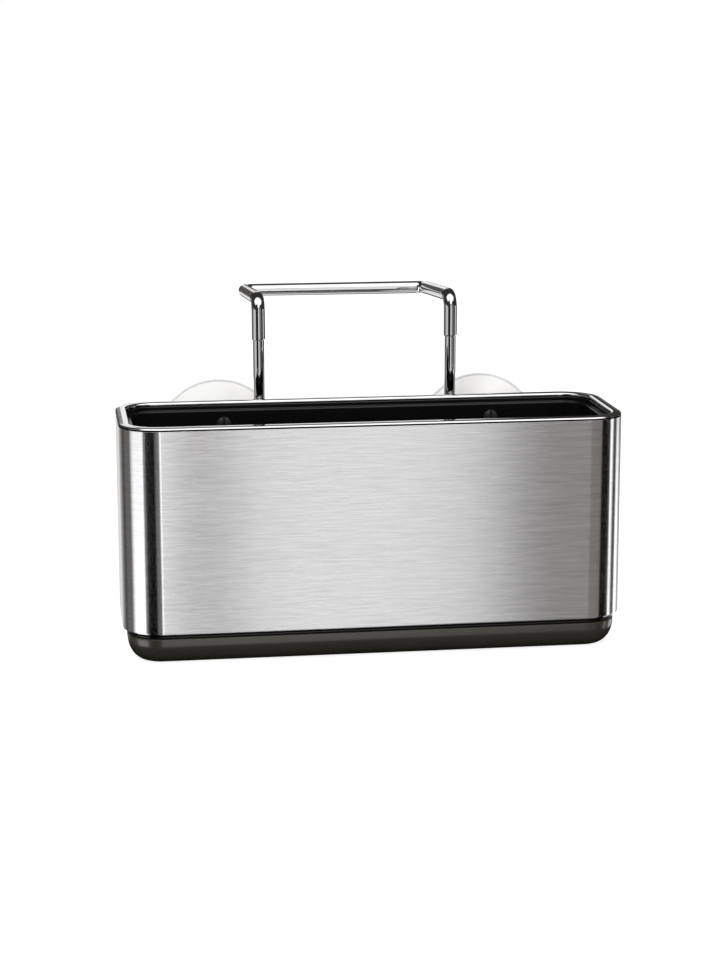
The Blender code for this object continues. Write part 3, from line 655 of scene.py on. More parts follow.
def close_rings(work, rings):
    """Join rings, and close both ends."""
    work.faces.new(rings[0])
    work.faces.new(rings[-1])
    join_rings(work, rings)


def circle_outline(radius, sides):
    """Points of a circle about the origin. One of no radius is a single point."""
    angles = [math.tau * step / sides for step in range(sides if radius else 1)]
    return [(radius * math.cos(angle), radius * math.sin(angle)) for angle in angles]


def turned_mesh(name, section, sides=TURN_SIDES):
    """Turn a section of (radius, height) points about the local Z axis. Both ends lie on the axis."""
    def build(work):
        rings = [add_ring(work, circle_outline(radius, sides), height) for radius, height in section]
        join_rings(work, rings)
    return mesh_from(build, name)


def prism_mesh(name, outline, low, high):
    """Extrude an outline of (x, y) points from one height to another."""
    def build(work):
        close_rings(work, [add_ring(work, outline, height) for height in (low, high)])
    return mesh_from(build, name)


def box_outline(half_x, half_y):
    return [(-half_x, -half_y), (half_x, -half_y), (half_x, half_y), (-half_x, half_y)]


def round_cutter(radius, length, location, rotation=(0, 0, 0), sides=TURN_SIDES):
    data = prism_mesh("cutter", circle_outline(radius, sides), 0, length)
    return mesh_object("cutter", data, None, location, rotation)


def box_cutter(low, high):
    """A box between two corners."""
    middle = (Vector(low) + Vector(high)) / 2
    outline = box_outline((high[0] - low[0]) / 2, (high[1] - low[1]) / 2)
    data = prism_mesh("cutter", outline, (low[2] - high[2]) / 2, (high[2] - low[2]) / 2)
    return mesh_object("cutter", data, None, middle)


def screw_hole_cutters(start, length):
    """Cutters for both screws' holes, backwards from a place in depth."""
    radius = SCREW_SHANK_RADIUS + CLEARANCE
    return [round_cutter(radius, length, (side * SCREW_X, start, SCREW_Z), TO_BACK) for _, side in SIDES]


# Sleeve


def make_sleeve_wall(material):
    """The brushed sheet: outside face, a drawn-in lower edge, and a step at the top for the seam's ring of
    painted shade.
    """
    seam_low = SEAM_TOP - SEAM_HEIGHT
    section = rounded([
        (SHEET, (SLEEVE_BOTTOM + RIM_BOTTOM) / 2, 0),
        (SHEET, SLEEVE_BOTTOM, SHEET_EDGE_RADIUS),
        (SHEET_EDGE_WIDTH, SLEEVE_BOTTOM, SHEET_EDGE_RADIUS),
        (0, SLEEVE_BOTTOM + SHEET_EDGE_HEIGHT, SHEET_EDGE_RADIUS),
        (0, seam_low, SHEET_EDGE_RADIUS),
        (SHEET, seam_low, 0),
    ])
    wall = wrapped_piece("sleeve_wall", section, material)
    cut(wall, screw_hole_cutters(BACK_WALL - SHEET - CUT_OVERRUN, SHEET + 2 * CUT_OVERRUN))
    finish_piece(wall, "caddy", "brushed_steel", "steel_sleeve")


def make_rim(material):
    """The polished rim: a slope over the seam, a shoulder, a flat land and a hem turned down inside."""
    outside = rounded([
        (SHEET + CLEARANCE, SEAM_TOP, 0),
        (0, SEAM_TOP, 0),
        (0, RIM_TOP - RIM_SLOPE_DROP, 0),
        (RIM_SLOPE_WIDTH, RIM_TOP - RIM_SHOULDER_DROP, RIM_BEND_RADIUS),
        (RIM_SHOULDER_WIDTH, RIM_TOP, RIM_BEND_RADIUS),
        (RIM_WIDTH - RIM_HEM_WIDTH - SUPPORT, RIM_TOP, 0),
    ], RIM_STEPS)
    hem = quarter_ellipse((RIM_WIDTH - RIM_HEM_WIDTH, RIM_TOP), (RIM_WIDTH, RIM_TOP - RIM_HEM_HEIGHT))
    under = rounded([
        (RIM_WIDTH, RIM_TOP - RIM_HEM_HEIGHT, 0),
        (RIM_WIDTH, RIM_BOTTOM, RIM_LIP_RADIUS),
        (SHEET + CLEARANCE, RIM_BOTTOM, 0),
    ], RIM_STEPS)
    rim = wrapped_piece("sleeve_rim", outside + hem + under[1:], material)
    finish_piece(rim, "caddy", "chrome", "steel_sleeve")


def make_rim_seam(material):
    """Painted shade in the seam between wall and rim: a near-black ring where the groove lies in shade."""
    low = SEAM_TOP - SEAM_HEIGHT - CLEARANCE
    section = [(SEAM_DEPTH, low), (SEAM_DEPTH, SEAM_TOP), (SHEET, SEAM_TOP), (SHEET, low)]
    seam = wrapped_piece("sleeve_seam_shade", section, material)
    # Its near-black is painted shade, though it takes the black plastic slot name.
    finish_piece(seam, "caddy", "black_plastic", "steel_sleeve")


# Liner


def liner_section():
    """From under the floor out, round the skirt and foot ring, over the collar and down to the floor."""
    skirt_inner = SKIRT_INSET + SKIRT_WALL
    shadow_inset = FOOT_RING_INSET + SHADOW_DEPTH
    foot_inset = LINER_INNER_INSET + LINER_DRAFT
    cap_inset = foot_inset + LINER_FLOOR_FILLET + FLOOR_CAP_MARGIN
    band_top = LINER_FLOOR_BOTTOM + LOCATING_BAND_HEIGHT
    collar_bottom = LINER_TOP - COLLAR_HEIGHT
    return rounded([
        (cap_inset, LINER_FLOOR_BOTTOM, 0),
        (skirt_inner, LINER_FLOOR_BOTTOM, 0),
        (skirt_inner, SKIRT_BOTTOM, 0),
        (SKIRT_INSET, SKIRT_BOTTOM, 0),
        (SKIRT_INSET, FOOT_RING_BOTTOM, 0),
        (FOOT_RING_INSET, FOOT_RING_BOTTOM, FOOT_RING_RADIUS),
        (FOOT_RING_INSET, FOOT_RING_TOP, FOOT_RING_RADIUS),
        (shadow_inset, FOOT_RING_TOP, 0),
        (shadow_inset, LINER_FLOOR_BOTTOM, 0),
        (LINER_BAND_INSET, LINER_FLOOR_BOTTOM, 0),
        (LINER_BAND_INSET, band_top, 0),
        (LINER_OUTER_INSET, band_top + BAND_SLOPE_HEIGHT, 0),
        (LINER_OUTER_INSET, collar_bottom - COLLAR_SLOPE_HEIGHT, 0),
        (LINER_BAND_INSET, collar_bottom, 0),
        (LINER_BAND_INSET, LINER_TOP, 0),
        (COLLAR_INNER_INSET, LINER_TOP, LEDGE_RADIUS),
        (COLLAR_INNER_INSET, LINER_TOP - LEDGE_DROP, LEDGE_FILLET),
        (LINER_INNER_INSET, LINER_TOP - LEDGE_DROP, LEDGE_RADIUS),
        (foot_inset, LINER_FLOOR_TOP, LINER_FLOOR_FILLET),
        (cap_inset, LINER_FLOOR_TOP, 0),
    ])


def slot_outline(half_length, radius):
    """A slot along X with round ends, about the origin."""
    points = []
    for side in (1, -1):
        for step in range(SLOT_END_STEPS + 1):
            angle = math.pi * step / SLOT_END_STEPS - QUARTER_TURN
            reach = half_length + radius * math.cos(angle)
            points.append((side * reach, side * radius * math.sin(angle)))
    return points


def drain_slot_cutter():
    """Every drain slot as one cutter, each wider at the top by a chamfer."""
    flat_half = BODY_WIDTH / 2 - LINER_INNER_INSET - LINER_DRAFT - LINER_FLOOR_FILLET - FLOOR_CAP_MARGIN
    half = (DRAIN_SLOT_LENGTH - DRAIN_SLOT_WIDTH) / 2
    levels = (
        (LINER_FLOOR_BOTTOM - CUT_OVERRUN, DRAIN_SLOT_WIDTH / 2),
        (LINER_FLOOR_TOP - DRAIN_CHAMFER, DRAIN_SLOT_WIDTH / 2),
        (LINER_FLOOR_TOP + CUT_OVERRUN, DRAIN_SLOT_WIDTH / 2 + DRAIN_CHAMFER + CUT_OVERRUN),
    )

    def build(work):
        for row in range(DRAIN_ROWS):
            count = int(2 * flat_half / DRAIN_SLOT_PITCH) - row % 2
            for index in range(count):
                x = (index - (count - 1) / 2) * DRAIN_SLOT_PITCH
                y = (row - (DRAIN_ROWS - 1) / 2) * DRAIN_ROW_PITCH
                rings = []
                for height, radius in levels:
                    outline = slot_outline(half, radius)
                    rings.append([work.verts.new((x + a, y + b, height)) for a, b in outline])
                close_rings(work, rings)
    return mesh_object("cutter", mesh_from(build, "cutter"))


def make_liner(material):
    liner = wrapped_piece("liner_moulding", liner_section(), material, is_ring=False)
    hole_start = BACK_WALL - LINER_INNER_INSET - LINER_DRAFT - CUT_OVERRUN
    cut(liner, [drain_slot_cutter()] + screw_hole_cutters(hole_start, LINER_WALL * 2))
    finish_piece(liner, "caddy", "liner_plastic", "inner_liner")


# Drip tray


def make_tray(material):
    """The tray: its outside face turns under in a tall quarter ellipse."""
    ledge_inset = TRAY_INSET + TRAY_WALL + TRAY_LEDGE_WIDTH
    edge_inset = TRAY_INSET + TRAY_EDGE_WIDTH
    cap_inset = edge_inset + FLOOR_CAP_MARGIN
    under = [(cap_inset, 0), (edge_inset + SUPPORT, 0)]
    under += quarter_ellipse((edge_inset, 0), (TRAY_INSET, TRAY_EDGE_HEIGHT))
    upper = rounded([
        (TRAY_INSET, TRAY_EDGE_HEIGHT + SUPPORT, 0),
        (TRAY_INSET, TRAY_TOP, TRAY_LIP_RADIUS),
        (TRAY_INSET + TRAY_WALL, TRAY_TOP, TRAY_LEDGE_RADIUS),
        (TRAY_INSET + TRAY_WALL, TRAY_LEDGE_TOP, 0),
        (ledge_inset, TRAY_LEDGE_TOP, TRAY_LEDGE_RADIUS),
        (ledge_inset, TRAY_FLOOR, TRAY_INNER_FILLET),
        (cap_inset, TRAY_FLOOR, 0),
    ])
    tray = wrapped_piece("tray_moulding", under + upper, material, is_ring=False)
    finish_piece(tray, "tray", "black_plastic", "drip_tray")


# Wire frame


def filleted_path(corners, radii):
    """Round the inner corners of a path in space, with a supporting point beside each arc's ends."""
    path = [corners[0]]
    for index, radius in enumerate(radii, start=1):
        here = corners[index]
        back = (corners[index - 1] - here).normalized()
        ahead = (corners[index + 1] - here).normalized()
        half_angle = back.angle(ahead) / 2
        reach = radius / math.tan(half_angle)
        centre = here + (back + ahead).normalized() * radius / math.sin(half_angle)
        start = here + back * reach - centre
        end = here + ahead * reach - centre
        sweep = start.angle(end)
        path.append(here + back * (reach + SUPPORT))
        for step in range(BEND_STEPS + 1):
            part = sweep * step / BEND_STEPS
            path.append(centre + (start * math.sin(sweep - part) + end * math.sin(part)) / math.sin(sweep))
        path.append(here + ahead * (reach + SUPPORT))
    path.append(corners[-1])
    return path


def path_frames(path):
    """Two directions square to the path at each point, carried along it without twist."""
    frames = []
    side = Vector((1, 0, 0))
    for index, place in enumerate(path):
        before = path[max(index - 1, 0)]
        after = path[min(index + 1, len(path) - 1)]
        along = (after - before).normalized()
        side = (side - along * side.dot(along)).normalized()
        frames.append((place, side, along.cross(side)))
    return frames


def make_loop(material):
    """A U of tube with open, tapered ends."""
    half = ((ROD_Y, TUBE_END), (ROD_Y, LOOP_TOP), (CROSSBAR_Y, CROSSBAR_Z))
    corners = [Vector((-HALF_ROD_SPACING, y, z)) for y, z in half]
    corners += [Vector((HALF_ROD_SPACING, y, z)) for y, z in reversed(half)]
    radii = (LOOP_BEND_RADIUS, LOOP_CORNER_RADIUS, LOOP_CORNER_RADIUS, LOOP_BEND_RADIUS)
    frames = path_frames(filleted_path(corners, radii))
    taper = quarter_ellipse((TUBE_TAPER_WIDTH, 0), (0, TUBE_TAPER_HEIGHT))
    end_steps = [(TUBE_BORE_DEPTH, 0), (TUBE_BORE_DEPTH, TUBE_BORE_RADIUS), (0, TUBE_BORE_RADIUS)]
    end_steps += [(depth, TUBE_RADIUS - inset) for inset, depth in taper]
    end_steps.append((TUBE_TAPER_HEIGHT + SUPPORT, TUBE_RADIUS))
    steps = [(frames[0], depth, radius) for depth, radius in end_steps]
    steps += [(one, 0, TUBE_RADIUS) for one in frames[1:-1]]
    steps += [(frames[-1], depth, radius) for depth, radius in reversed(end_steps)]

    def build(work):
        rings = []
        for (place, side, other), depth, radius in steps:
            centre = place + Vector((0, 0, depth))
            spots = [centre + side * x + other * y for x, y in circle_outline(radius, TUBE_SIDES)]
            rings.append([work.verts.new(spot) for spot in spots])
        join_rings(work, rings)
    loop = mesh_object("hanger_tube", mesh_from(build, "hanger_tube"), material)
    finish_piece(loop, "wire_frame", "chrome", "hanger_loop")


def make_rod(side_name, side, material):
    """A rod with a spigot at its top that goes into the tube's bore."""
    shoulder = TUBE_END - ROD_BOTTOM
    tip = shoulder + TUBE_BORE_DEPTH - CLEARANCE
    section = rounded([
        (0, 0, 0),
        (ROD_RADIUS, 0, ROD_TIP_CHAMFER),
        (ROD_RADIUS, shoulder, ROD_SHOULDER_RADIUS),
        (SPIGOT_RADIUS, shoulder, 0),
        (SPIGOT_RADIUS, tip, ROD_TIP_CHAMFER),
        (0, tip, 0),
    ])
    place = (side * HALF_ROD_SPACING, ROD_Y, ROD_BOTTOM)
    rod = mesh_object(side_name + "_rod", turned_mesh("rod", section), material, place)
    finish_piece(rod, "wire_frame", "chrome", "rod_" + side_name)


def make_end_cap(side_name, side, material):
    bore = ROD_RADIUS + CLEARANCE
    length = CAP_HIGH.z - CAP_LOW.z
    lip = (END_CAP_RADIUS - bore) / 2
    section = rounded([
        (0, 0, 0),
        (END_CAP_RADIUS, 0, END_CAP_EDGE_RADIUS),
        (END_CAP_RADIUS, length, lip),
        (bore, length, lip),
        (bore, END_CAP_FLOOR, 0),
        (0, END_CAP_FLOOR, 0),
    ])
    place = (side * HALF_ROD_SPACING, ROD_Y, CAP_LOW.z)
    cap = mesh_object(side_name + "_end_cap", turned_mesh("end_cap", section), material, place)
    finish_piece(cap, "wire_frame", "black_plastic", "rod_end_cap_" + side_name)


# Bracket, screws and cups


def make_bracket(material):
    """The moulded bar: thin in the middle, with ribs between recesses, and thick where the rods run."""
    half = BRACKET_HIGH.x
    front = BRACKET_LOW.y
    back = BRACKET_HIGH.y
    web_back = front + BRACKET_WEB_THICKNESS
    web = BRACKET_POD_EDGE - BRACKET_POD_SLOPE
    outline = [
        (-half, front), (half, front), (half, back), (BRACKET_POD_EDGE, back),
        (web, web_back), (-web, web_back), (-BRACKET_POD_EDGE, back), (-half, back),
    ]
    name = "bracket_moulding"
    bracket = mesh_object(name, prism_mesh(name, outline, BRACKET_LOW.z, BRACKET_HIGH.z), material)
    soften(bracket)
    cutters = bracket_recesses(web, web_back)
    for side_name, side in SIDES:
        bore_start = (side * HALF_ROD_SPACING, ROD_Y, BRACKET_LOW.z - CUT_OVERRUN)
        bore_length = BRACKET_HIGH.z - BRACKET_LOW.z + 2 * CUT_OVERRUN
        cutters.append(round_cutter(ROD_RADIUS + CLEARANCE, bore_length, bore_start))
        stud_start = (side * CUP_X, front - CUT_OVERRUN, CUP_Z)
        cutters.append(round_cutter(CUP_BORE_RADIUS, back - front + 2 * CUT_OVERRUN, stud_start, TO_BACK))
        pad_low, pad_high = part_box("friction_pad_" + side_name)
        margin = Vector((CLEARANCE, 0, CLEARANCE))
        far = Vector((pad_high.x, back + CUT_OVERRUN, pad_high.z)) + margin
        cutters.append(box_cutter(Vector((pad_low.x, ROD_Y, pad_low.z)) - margin, far))
        nut_low, nut_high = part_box("cup_nut_" + side_name)
        nut_radius = (nut_high.x - nut_low.x) / 2 + CLEARANCE
        nut_depth = nut_high.y - front + CUT_OVERRUN + CLEARANCE
        cutters.append(round_cutter(nut_radius, nut_depth, stud_start, TO_BACK, NUT_SIDES))
    cut(bracket, cutters)
    finish_piece(bracket, "caddy", "black_plastic", "rear_bracket")


def bracket_recesses(web, web_back):
    """Cutters for the shallow recesses between the ribs on the back of the web."""
    cutters = []
    reach = web - BRACKET_FRAME_WIDTH
    cell_width = (2 * reach - BRACKET_RIBS * BRACKET_RIB_WIDTH) / (BRACKET_RIBS + 1)
    for index in range(BRACKET_RIBS + 1):
        start = -reach + index * (cell_width + BRACKET_RIB_WIDTH)
        low = (start, web_back - BRACKET_RECESS_DEPTH, BRACKET_LOW.z + BRACKET_FRAME_WIDTH)
        high = (start + cell_width, web_back + CUT_OVERRUN, BRACKET_HIGH.z - BRACKET_FRAME_WIDTH)
        cutters.append(box_cutter(low, high))
    return cutters


def make_screw(side_name, side, material):
    """A dome head with a straight slot, and its shank."""
    length = SCREW_HIGH.y - SCREW_LOW.y
    dome = []
    for step in range(ARC_STEPS * 2):
        angle = QUARTER_TURN * step / (ARC_STEPS * 2)
        height = (SCREW_HEAD_HEIGHT - SCREW_HEAD_EDGE) * (1 - math.cos(angle))
        dome.append((SCREW_HEAD_RADIUS * math.sin(angle), height))
    section = dome + [
        (SCREW_HEAD_RADIUS, SCREW_HEAD_HEIGHT - SCREW_HEAD_EDGE),
        (SCREW_HEAD_RADIUS, SCREW_HEAD_HEIGHT),
        (SCREW_SHANK_RADIUS, SCREW_HEAD_HEIGHT),
        (SCREW_SHANK_RADIUS, length),
        (0, length),
    ]
    place = (side * SCREW_X, SCREW_LOW.y, SCREW_Z)
    screw = mesh_object(side_name + "_screw", turned_mesh("screw", section), material, place, TO_BACK)
    reach = SCREW_HEAD_RADIUS + CUT_OVERRUN
    half = SCREW_SLOT_WIDTH / 2
    low = (place[0] - half, place[1] - CUT_OVERRUN, place[2] - reach)
    high = (place[0] + half, place[1] + SCREW_SLOT_DEPTH, place[2] + reach)
    cut(screw, [box_cutter(low, high)])
    finish_piece(screw, "caddy", "black_plastic", "bracket_screw_" + side_name)


def cup_section():
    """Bore, neck, flaring outer face with a bead near its lip, and the hollow that grips the wall."""
    lip_front = CUP_LENGTH - CUP_LIP_THICKNESS
    lip_inner = CUP_RADIUS - CUP_LIP_WIDTH
    neck = rounded([
        (CUP_BORE_RADIUS, 0, 0),
        (CUP_NECK_RADIUS, 0, CUP_NECK_EDGE_RADIUS),
        (CUP_NECK_RADIUS, CUP_NECK_LENGTH, 0),
    ])
    outer = []
    flare_end = CUP_RADIUS - CUP_BEAD_WIDTH
    for step in range(1, CUP_STEPS + 1):
        share = step / CUP_STEPS
        radius = CUP_NECK_RADIUS + (flare_end - CUP_NECK_RADIUS) * share
        outer.append((radius, CUP_NECK_LENGTH + (lip_front - CUP_NECK_LENGTH) * share ** CUP_OUTER_POWER))
    bead = []
    for step in range(1, ARC_STEPS * 2):
        angle = math.pi * step / (ARC_STEPS * 2)
        radius = CUP_RADIUS - CUP_BEAD_WIDTH / 2 * (1 + math.cos(angle))
        bead.append((radius, lip_front - CUP_BEAD_HEIGHT * math.sin(angle)))
    lip = rounded([
        (CUP_RADIUS, lip_front, 0),
        (CUP_RADIUS, CUP_LENGTH, CUP_LIP_EDGE_RADIUS),
        (lip_inner, CUP_LENGTH, 0),
    ])
    hollow = []
    for step in range(CUP_STEPS - 1, -1, -1):
        share = step / CUP_STEPS
        depth = CUP_HOLLOW_DEPTH * (1 - share ** CUP_HOLLOW_POWER)
        hollow.append((lip_inner * share, CUP_LENGTH - depth))
    return [(0, CUP_BORE_DEPTH), (CUP_BORE_RADIUS, CUP_BORE_DEPTH)] + neck + outer + bead + lip + hollow


def make_cup(side_name, side, material):
    data = turned_mesh("cup", cup_section(), CUP_SIDES)
    cup = mesh_object(side_name + "_cup", data, material, (side * CUP_X, CUP_LOW.y, CUP_Z), TO_BACK)
    finish_piece(cup, "caddy", "pale_vinyl", "suction_cup_" + side_name)


def dress_node(name, material):
    """Give a CAD node that stays a better material."""
    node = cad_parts[name]
    node.data.materials.clear()
    node.data.materials.append(material)


# Camera


def place_camera():
    """Stand the camera where the photograph's was, aimed so that the body lands on the same pixels."""
    yaw_sin, yaw_cos = math.sin(CAMERA_YAW), math.cos(CAMERA_YAW)
    pitch_sin, pitch_cos = math.sin(CAMERA_PITCH), math.cos(CAMERA_PITCH)
    level = Vector((yaw_cos, -yaw_sin, 0))
    forward = Vector((yaw_sin * pitch_cos, yaw_cos * pitch_cos, -pitch_sin))
    upright = level.cross(forward)
    right = level * math.cos(CAMERA_ROLL) + upright * math.sin(CAMERA_ROLL)
    up = upright * math.cos(CAMERA_ROLL) - level * math.sin(CAMERA_ROLL)
    across = CAMERA_DISTANCE * (AIM_X_PX - PHOTO_WIDTH_PX / 2) / FOCAL_PX
    above = CAMERA_DISTANCE * (AIM_Y_PX - PHOTO_HEIGHT_PX / 2) / FOCAL_PX
    place = AIM - right * across + up * above - forward * CAMERA_DISTANCE
    data = bpy.data.cameras.new("camera")
    data.sensor_width = SENSOR_MM
    data.lens = FOCAL_PX * SENSOR_MM / PHOTO_HEIGHT_PX
    data.clip_start = CLIP_NEAR
    data.clip_end = CLIP_FAR
    camera = bpy.data.objects.new("camera", data)
    bpy.context.scene.collection.objects.link(camera)
    camera.matrix_world = Matrix.Translation(place) @ Matrix((right, up, -forward)).transposed().to_4x4()
    bpy.context.scene.camera = camera


# Studio


# Upright light panels and black flags round the object, as metal sees them. Each has the azimuths in
# degrees where it starts and ends, from the front towards +X, how soft each edge is, and its brightness.
STUDIO_PANELS = (
    (-195, 2, -150, 36, 0.65),
    (-136, 6, -121, 4, 0.10),
    (-91, 14, -51, 3, 2.10),
    (-43, 4, -15, 6, 0.0),
    (-1.5, 3, 2.9, 0.8, 1.60),
    (3.1, 0.8, 4.8, 0.5, 0.33),
    (4.8, 0.5, 6.2, 1.0, 1.12),
    (6.0, 1.0, 12.1, 1.2, 1.02),
    (12.1, 1, 13.6, 1, 0.10),
    (13.4, 1, 15.5, 2, 0.36),
    (15.5, 2, 47, 6, 0.24),
    (49, 5, 80.6, 2, 0.0),
    (81, 2, 92, 8, 1.60),
    (97, 4, 110, 4, 0.03),
    (112, 8, 131, 4, 2.30),
    (131, 4, 150, 10, 0.66),
    (150, 10, 195, 2, 0.16),
)
STUDIO_BASE = 0.18
# Elevation up to which the upright panels reach: less behind and at the sides than in front
TOP_PANELS = (
    (-200, 2, -155, 8, -7),
    (-91, 6, -51, 6, -10.5),
    (-10, 8, 47, 8, 24),
    (105, 6, 146, 8, -10.5),
)
TOP_BASE = 7
TOP_SOFTNESS = 4
# The ranges below have the place where they start and end too, with the softness of each edge.
# A dimmer panel over the one on the left
LEFT_AZIMUTHS = (-91, 6, -50, 6)
LEFT_ELEVATIONS = (-10.5, 4, 12, 6)
LEFT_LEVEL = 0.70
# Below these elevations the ground takes a share of the brightness of the panels that stand on it
GROUND_START = -62
GROUND_SOFTNESS = 50
GROUND_SHARE = 1.10
BELOW_START = -72
BELOW_SOFTNESS = 10
BELOW_LEVEL = 0.80
# Two ceiling panels, by the slopes from straight up of their sides, across and forwards
CEILING_LEVEL = 1.60
CEILING_ACROSS = (-1.15, 0.5, 1.15, 0.5)
CEILING_AHEAD = (-0.05, 0.2, 0.80, 0.3)
STRIP_ACROSS = (-0.26, 0.2, 0.60, 0.2)
STRIP_AHEAD = (0, 0.2, 1.90, 0.4)
LEAST_RISE = 0.01
UPPER_DARK = 0.04
# What stands behind the object, by the angle from straight back towards +X and by elevation: a pale wall
# with a dim strip across it, and a slightly darker one beside it
WALL_ANGLES = (-0.5, 2, 11.5, 2)
WALL_ELEVATIONS = (-78, 16, 42, 6)
WALL_LEVEL = 0.98
WALL_PANELS = (
    (-16, 6, 1, 4, 0.08),
    (22, 8, 60, 8, 0.22),
)
SIDE_ANGLES = (-11.5, 2, -0.5, 2)
SIDE_ELEVATIONS = (-19, 4, 26, 8)
SIDE_LEVEL = 0.90
SIDE_PANELS = (
    (-7, 4, 12.5, 5, 0.10),
)
# Tints of dim and of bright light, and the level where one passes into the other
DIM_TINT = (1.0, 0.945, 0.905, 1)
BRIGHT_TINT = (1.0, 0.993, 1.008, 1)
TINT_LEVEL = 0.5
TINT_SOFTNESS = 0.6

# Light that everything but metal gets from all sides, the floor, and lamps with their place, size and power
PLAIN_LIGHT = 0.65
FLOOR_HALF = 3.0
FLOOR_THICKNESS = 0.0100
FLOOR_GLOW = 0.82
FLOOR_COLOUR = (0.30, 0.30, 0.30, 1)
WHITE = (1, 1, 1, 1)
SHADE_REACH = 0.0145
LAMPS = (
    ("key_lamp", (-0.9, -1.4, 1.1), 0.9, 20.0),
    ("fill_lamp", (1.3, -1.2, 0.7), 1.0, 10.0),
    ("back_lamp", (0.2, 1.4, 1.1), 1.0, 12.0),
)


def band(tree, value, low, low_edge, high, high_edge):
    """1 between two limits and 0 outside them, with soft edges."""
    return maths(tree, "MULTIPLY", rise(tree, value, low, low_edge),
                 maths(tree, "SUBTRACT", 1.0, rise(tree, value, high, high_edge)))


def panels(tree, angle, level, rows):
    """Lay panels over a level of brightness, by an angle."""
    for start, start_edge, end, end_edge, brightness in rows:
        level = blend(tree, band(tree, angle, start, start_edge, end, end_edge), level, brightness)
    return level


def patch(tree, first, first_range, second, second_range):
    """1 where two values lie in their ranges, and 0 outside them."""
    return maths(tree, "MULTIPLY", band(tree, first, *first_range), band(tree, second, *second_range))


def ceiling(tree, x, front, z):
    """Share of the ceiling panels in each direction."""
    height = maths(tree, "MAXIMUM", z, LEAST_RISE)
    aside = maths(tree, "DIVIDE", x, height)
    ahead = maths(tree, "DIVIDE", front, height)
    wide = patch(tree, aside, CEILING_ACROSS, ahead, CEILING_AHEAD)
    strip = patch(tree, aside, STRIP_ACROSS, ahead, STRIP_AHEAD)
    return maths(tree, "MAXIMUM", wide, strip)


def studio_level(tree):
    """Brightness that metal sees in each direction."""
    direction = add(tree, "ShaderNodeSeparateXYZ")
    feed(tree, direction.inputs[0], add(tree, "ShaderNodeTexCoord").outputs["Generated"])
    x, y, z = direction.outputs
    front = maths(tree, "MULTIPLY", y, -1.0)
    azimuth = maths(tree, "DEGREES", maths(tree, "ARCTAN2", x, front))
    from_back = maths(tree, "DEGREES", maths(tree, "ARCTAN2", x, y))
    elevation = maths(tree, "DEGREES", maths(tree, "ARCSINE", z))
    upright = panels(tree, azimuth, STUDIO_BASE, STUDIO_PANELS)
    overhead = blend(tree, ceiling(tree, x, front, z), UPPER_DARK, CEILING_LEVEL)
    above = maths(tree, "SUBTRACT", elevation, panels(tree, azimuth, TOP_BASE, TOP_PANELS))
    level = blend(tree, rise(tree, above, 0, TOP_SOFTNESS), upright, overhead)
    left = patch(tree, azimuth, LEFT_AZIMUTHS, elevation, LEFT_ELEVATIONS)
    level = blend(tree, left, level, LEFT_LEVEL)
    ground = maths(tree, "MULTIPLY", upright, GROUND_SHARE)
    level = blend(tree, rise(tree, elevation, GROUND_START, GROUND_SOFTNESS), ground, level)
    level = blend(tree, rise(tree, elevation, BELOW_START, BELOW_SOFTNESS), BELOW_LEVEL, level)
    side = patch(tree, from_back, SIDE_ANGLES, elevation, SIDE_ELEVATIONS)
    level = blend(tree, side, level, panels(tree, elevation, SIDE_LEVEL, SIDE_PANELS))
    wall = patch(tree, from_back, WALL_ANGLES, elevation, WALL_ELEVATIONS)
    return blend(tree, wall, level, panels(tree, elevation, WALL_LEVEL, WALL_PANELS))


def ray_kinds(tree):
    """Rays that see the white background, from the camera or through a cup, and mirrored rays."""
    rays = add(tree, "ShaderNodeLightPath").outputs
    return maths(tree, "MAXIMUM", rays["Is Camera Ray"], rays["Is Transmission Ray"]), rays["Is Glossy Ray"]


def make_world():
    """White to the camera and through the cups, panels and flags in reflections, plain light elsewhere."""
    world = bpy.data.worlds.new("studio")
    bpy.context.scene.world = world
    world.use_nodes = True
    world.cycles.sampling_method = "NONE"
    tree = world.node_tree
    level = studio_level(tree)
    tint = blend_colour(tree, rise(tree, level, TINT_LEVEL, TINT_SOFTNESS), DIM_TINT, BRIGHT_TINT)
    seen, mirrored = ray_kinds(tree)
    level = blend(tree, mirrored, PLAIN_LIGHT, level)
    level = blend(tree, seen, level, 1.0)
    colour = blend_colour(tree, mirrored, WHITE, tint)
    feed_node(tree, tree.nodes["Background"], {"Strength": level, "Color": colour})


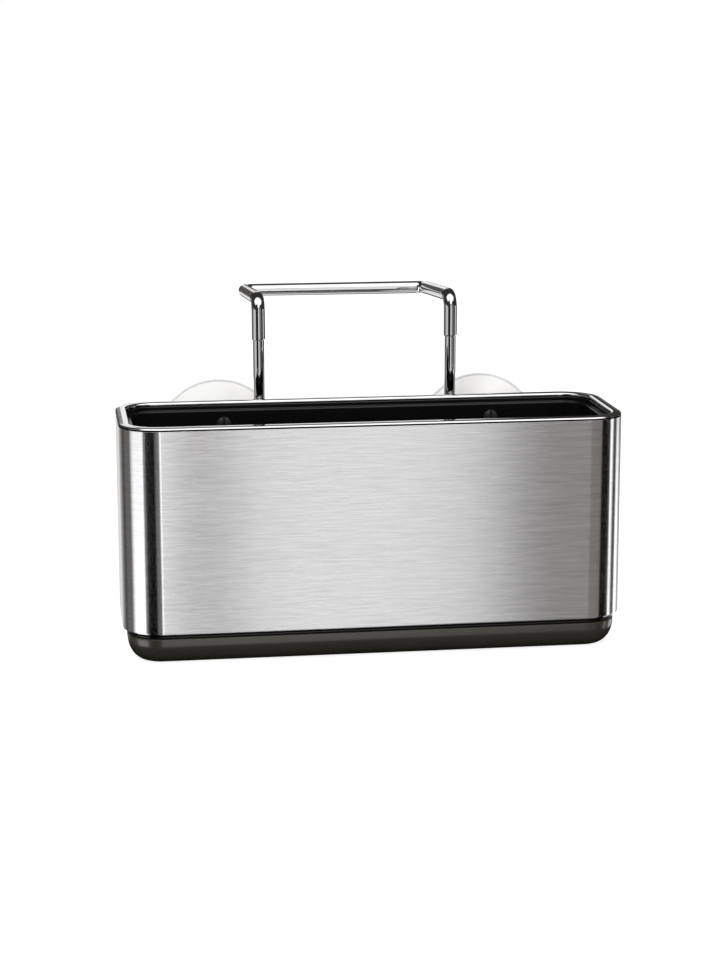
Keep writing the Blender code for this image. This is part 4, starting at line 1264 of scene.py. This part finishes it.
def make_floor():
    """A white floor that keeps a faint shadow. Metal sees the studio through it."""
    material, tree, shader = new_material("floor_finish")
    feed_node(tree, shader, {
        "Base Color": FLOOR_COLOUR,
        "Roughness": 1.0,
        "Specular IOR Level": 0.0,
        "Emission Color": WHITE,
        "Emission Strength": maths(tree, "MULTIPLY", ray_kinds(tree)[0], FLOOR_GLOW),
    })
    outline = box_outline(FLOOR_HALF, FLOOR_HALF)
    floor = mesh_object("floor", prism_mesh("floor", outline, -FLOOR_THICKNESS, 0), material)
    floor.visible_glossy = False


def make_contact_shade(material):
    """Painted shade: a black sheet on the floor close round the tray, standing for the tray's shade there.
    Only reflections see it.
    """
    def build(work):
        work.faces.new(add_ring(work, body_outline(TRAY_INSET - SHADE_REACH), 0))
    shade = mesh_object("contact_shade", mesh_from(build, "contact_shade"), material)
    for kind in ("camera", "diffuse", "transmission", "shadow"):
        setattr(shade, "visible_" + kind, False)


def make_lamps():
    for name, place, size, power in LAMPS:
        data = bpy.data.lights.new(name, "AREA")
        data.size = size
        data.energy = power
        lamp = bpy.data.objects.new(name, data)
        bpy.context.scene.collection.objects.link(lamp)
        lamp.location = place
        lamp.rotation_euler = (AIM - Vector(place)).to_track_quat("-Z", "Y").to_euler()
        lamp.visible_glossy = False


def build_scene():
    place_camera()
    wire = chrome()
    hardware = hardware_steel()
    black = part_plastic()
    nylon = grey_nylon()
    vinyl = pale_vinyl()
    shadow = seam_painted_shade()
    make_sleeve_wall(brushed_steel())
    make_rim(polished_steel())
    make_rim_seam(shadow)
    make_liner(liner_plastic())
    make_tray(tray_plastic())
    make_loop(wire)
    make_bracket(black)
    for side_name, side in SIDES:
        make_rod(side_name, side, wire)
        make_end_cap(side_name, side, black)
        make_screw(side_name, side, black)
        make_cup(side_name, side, vinyl)
        dress_node("cup_stud_" + side_name, hardware)
        dress_node("cup_nut_" + side_name, hardware)
        dress_node("friction_pad_" + side_name, nylon)
    dress_node("tray_seal", seal_rubber())
    make_world()
    make_floor()
    make_contact_shade(shadow)
    make_lamps()
    bpy.context.scene.view_settings.view_transform = "Standard"


build_scene()
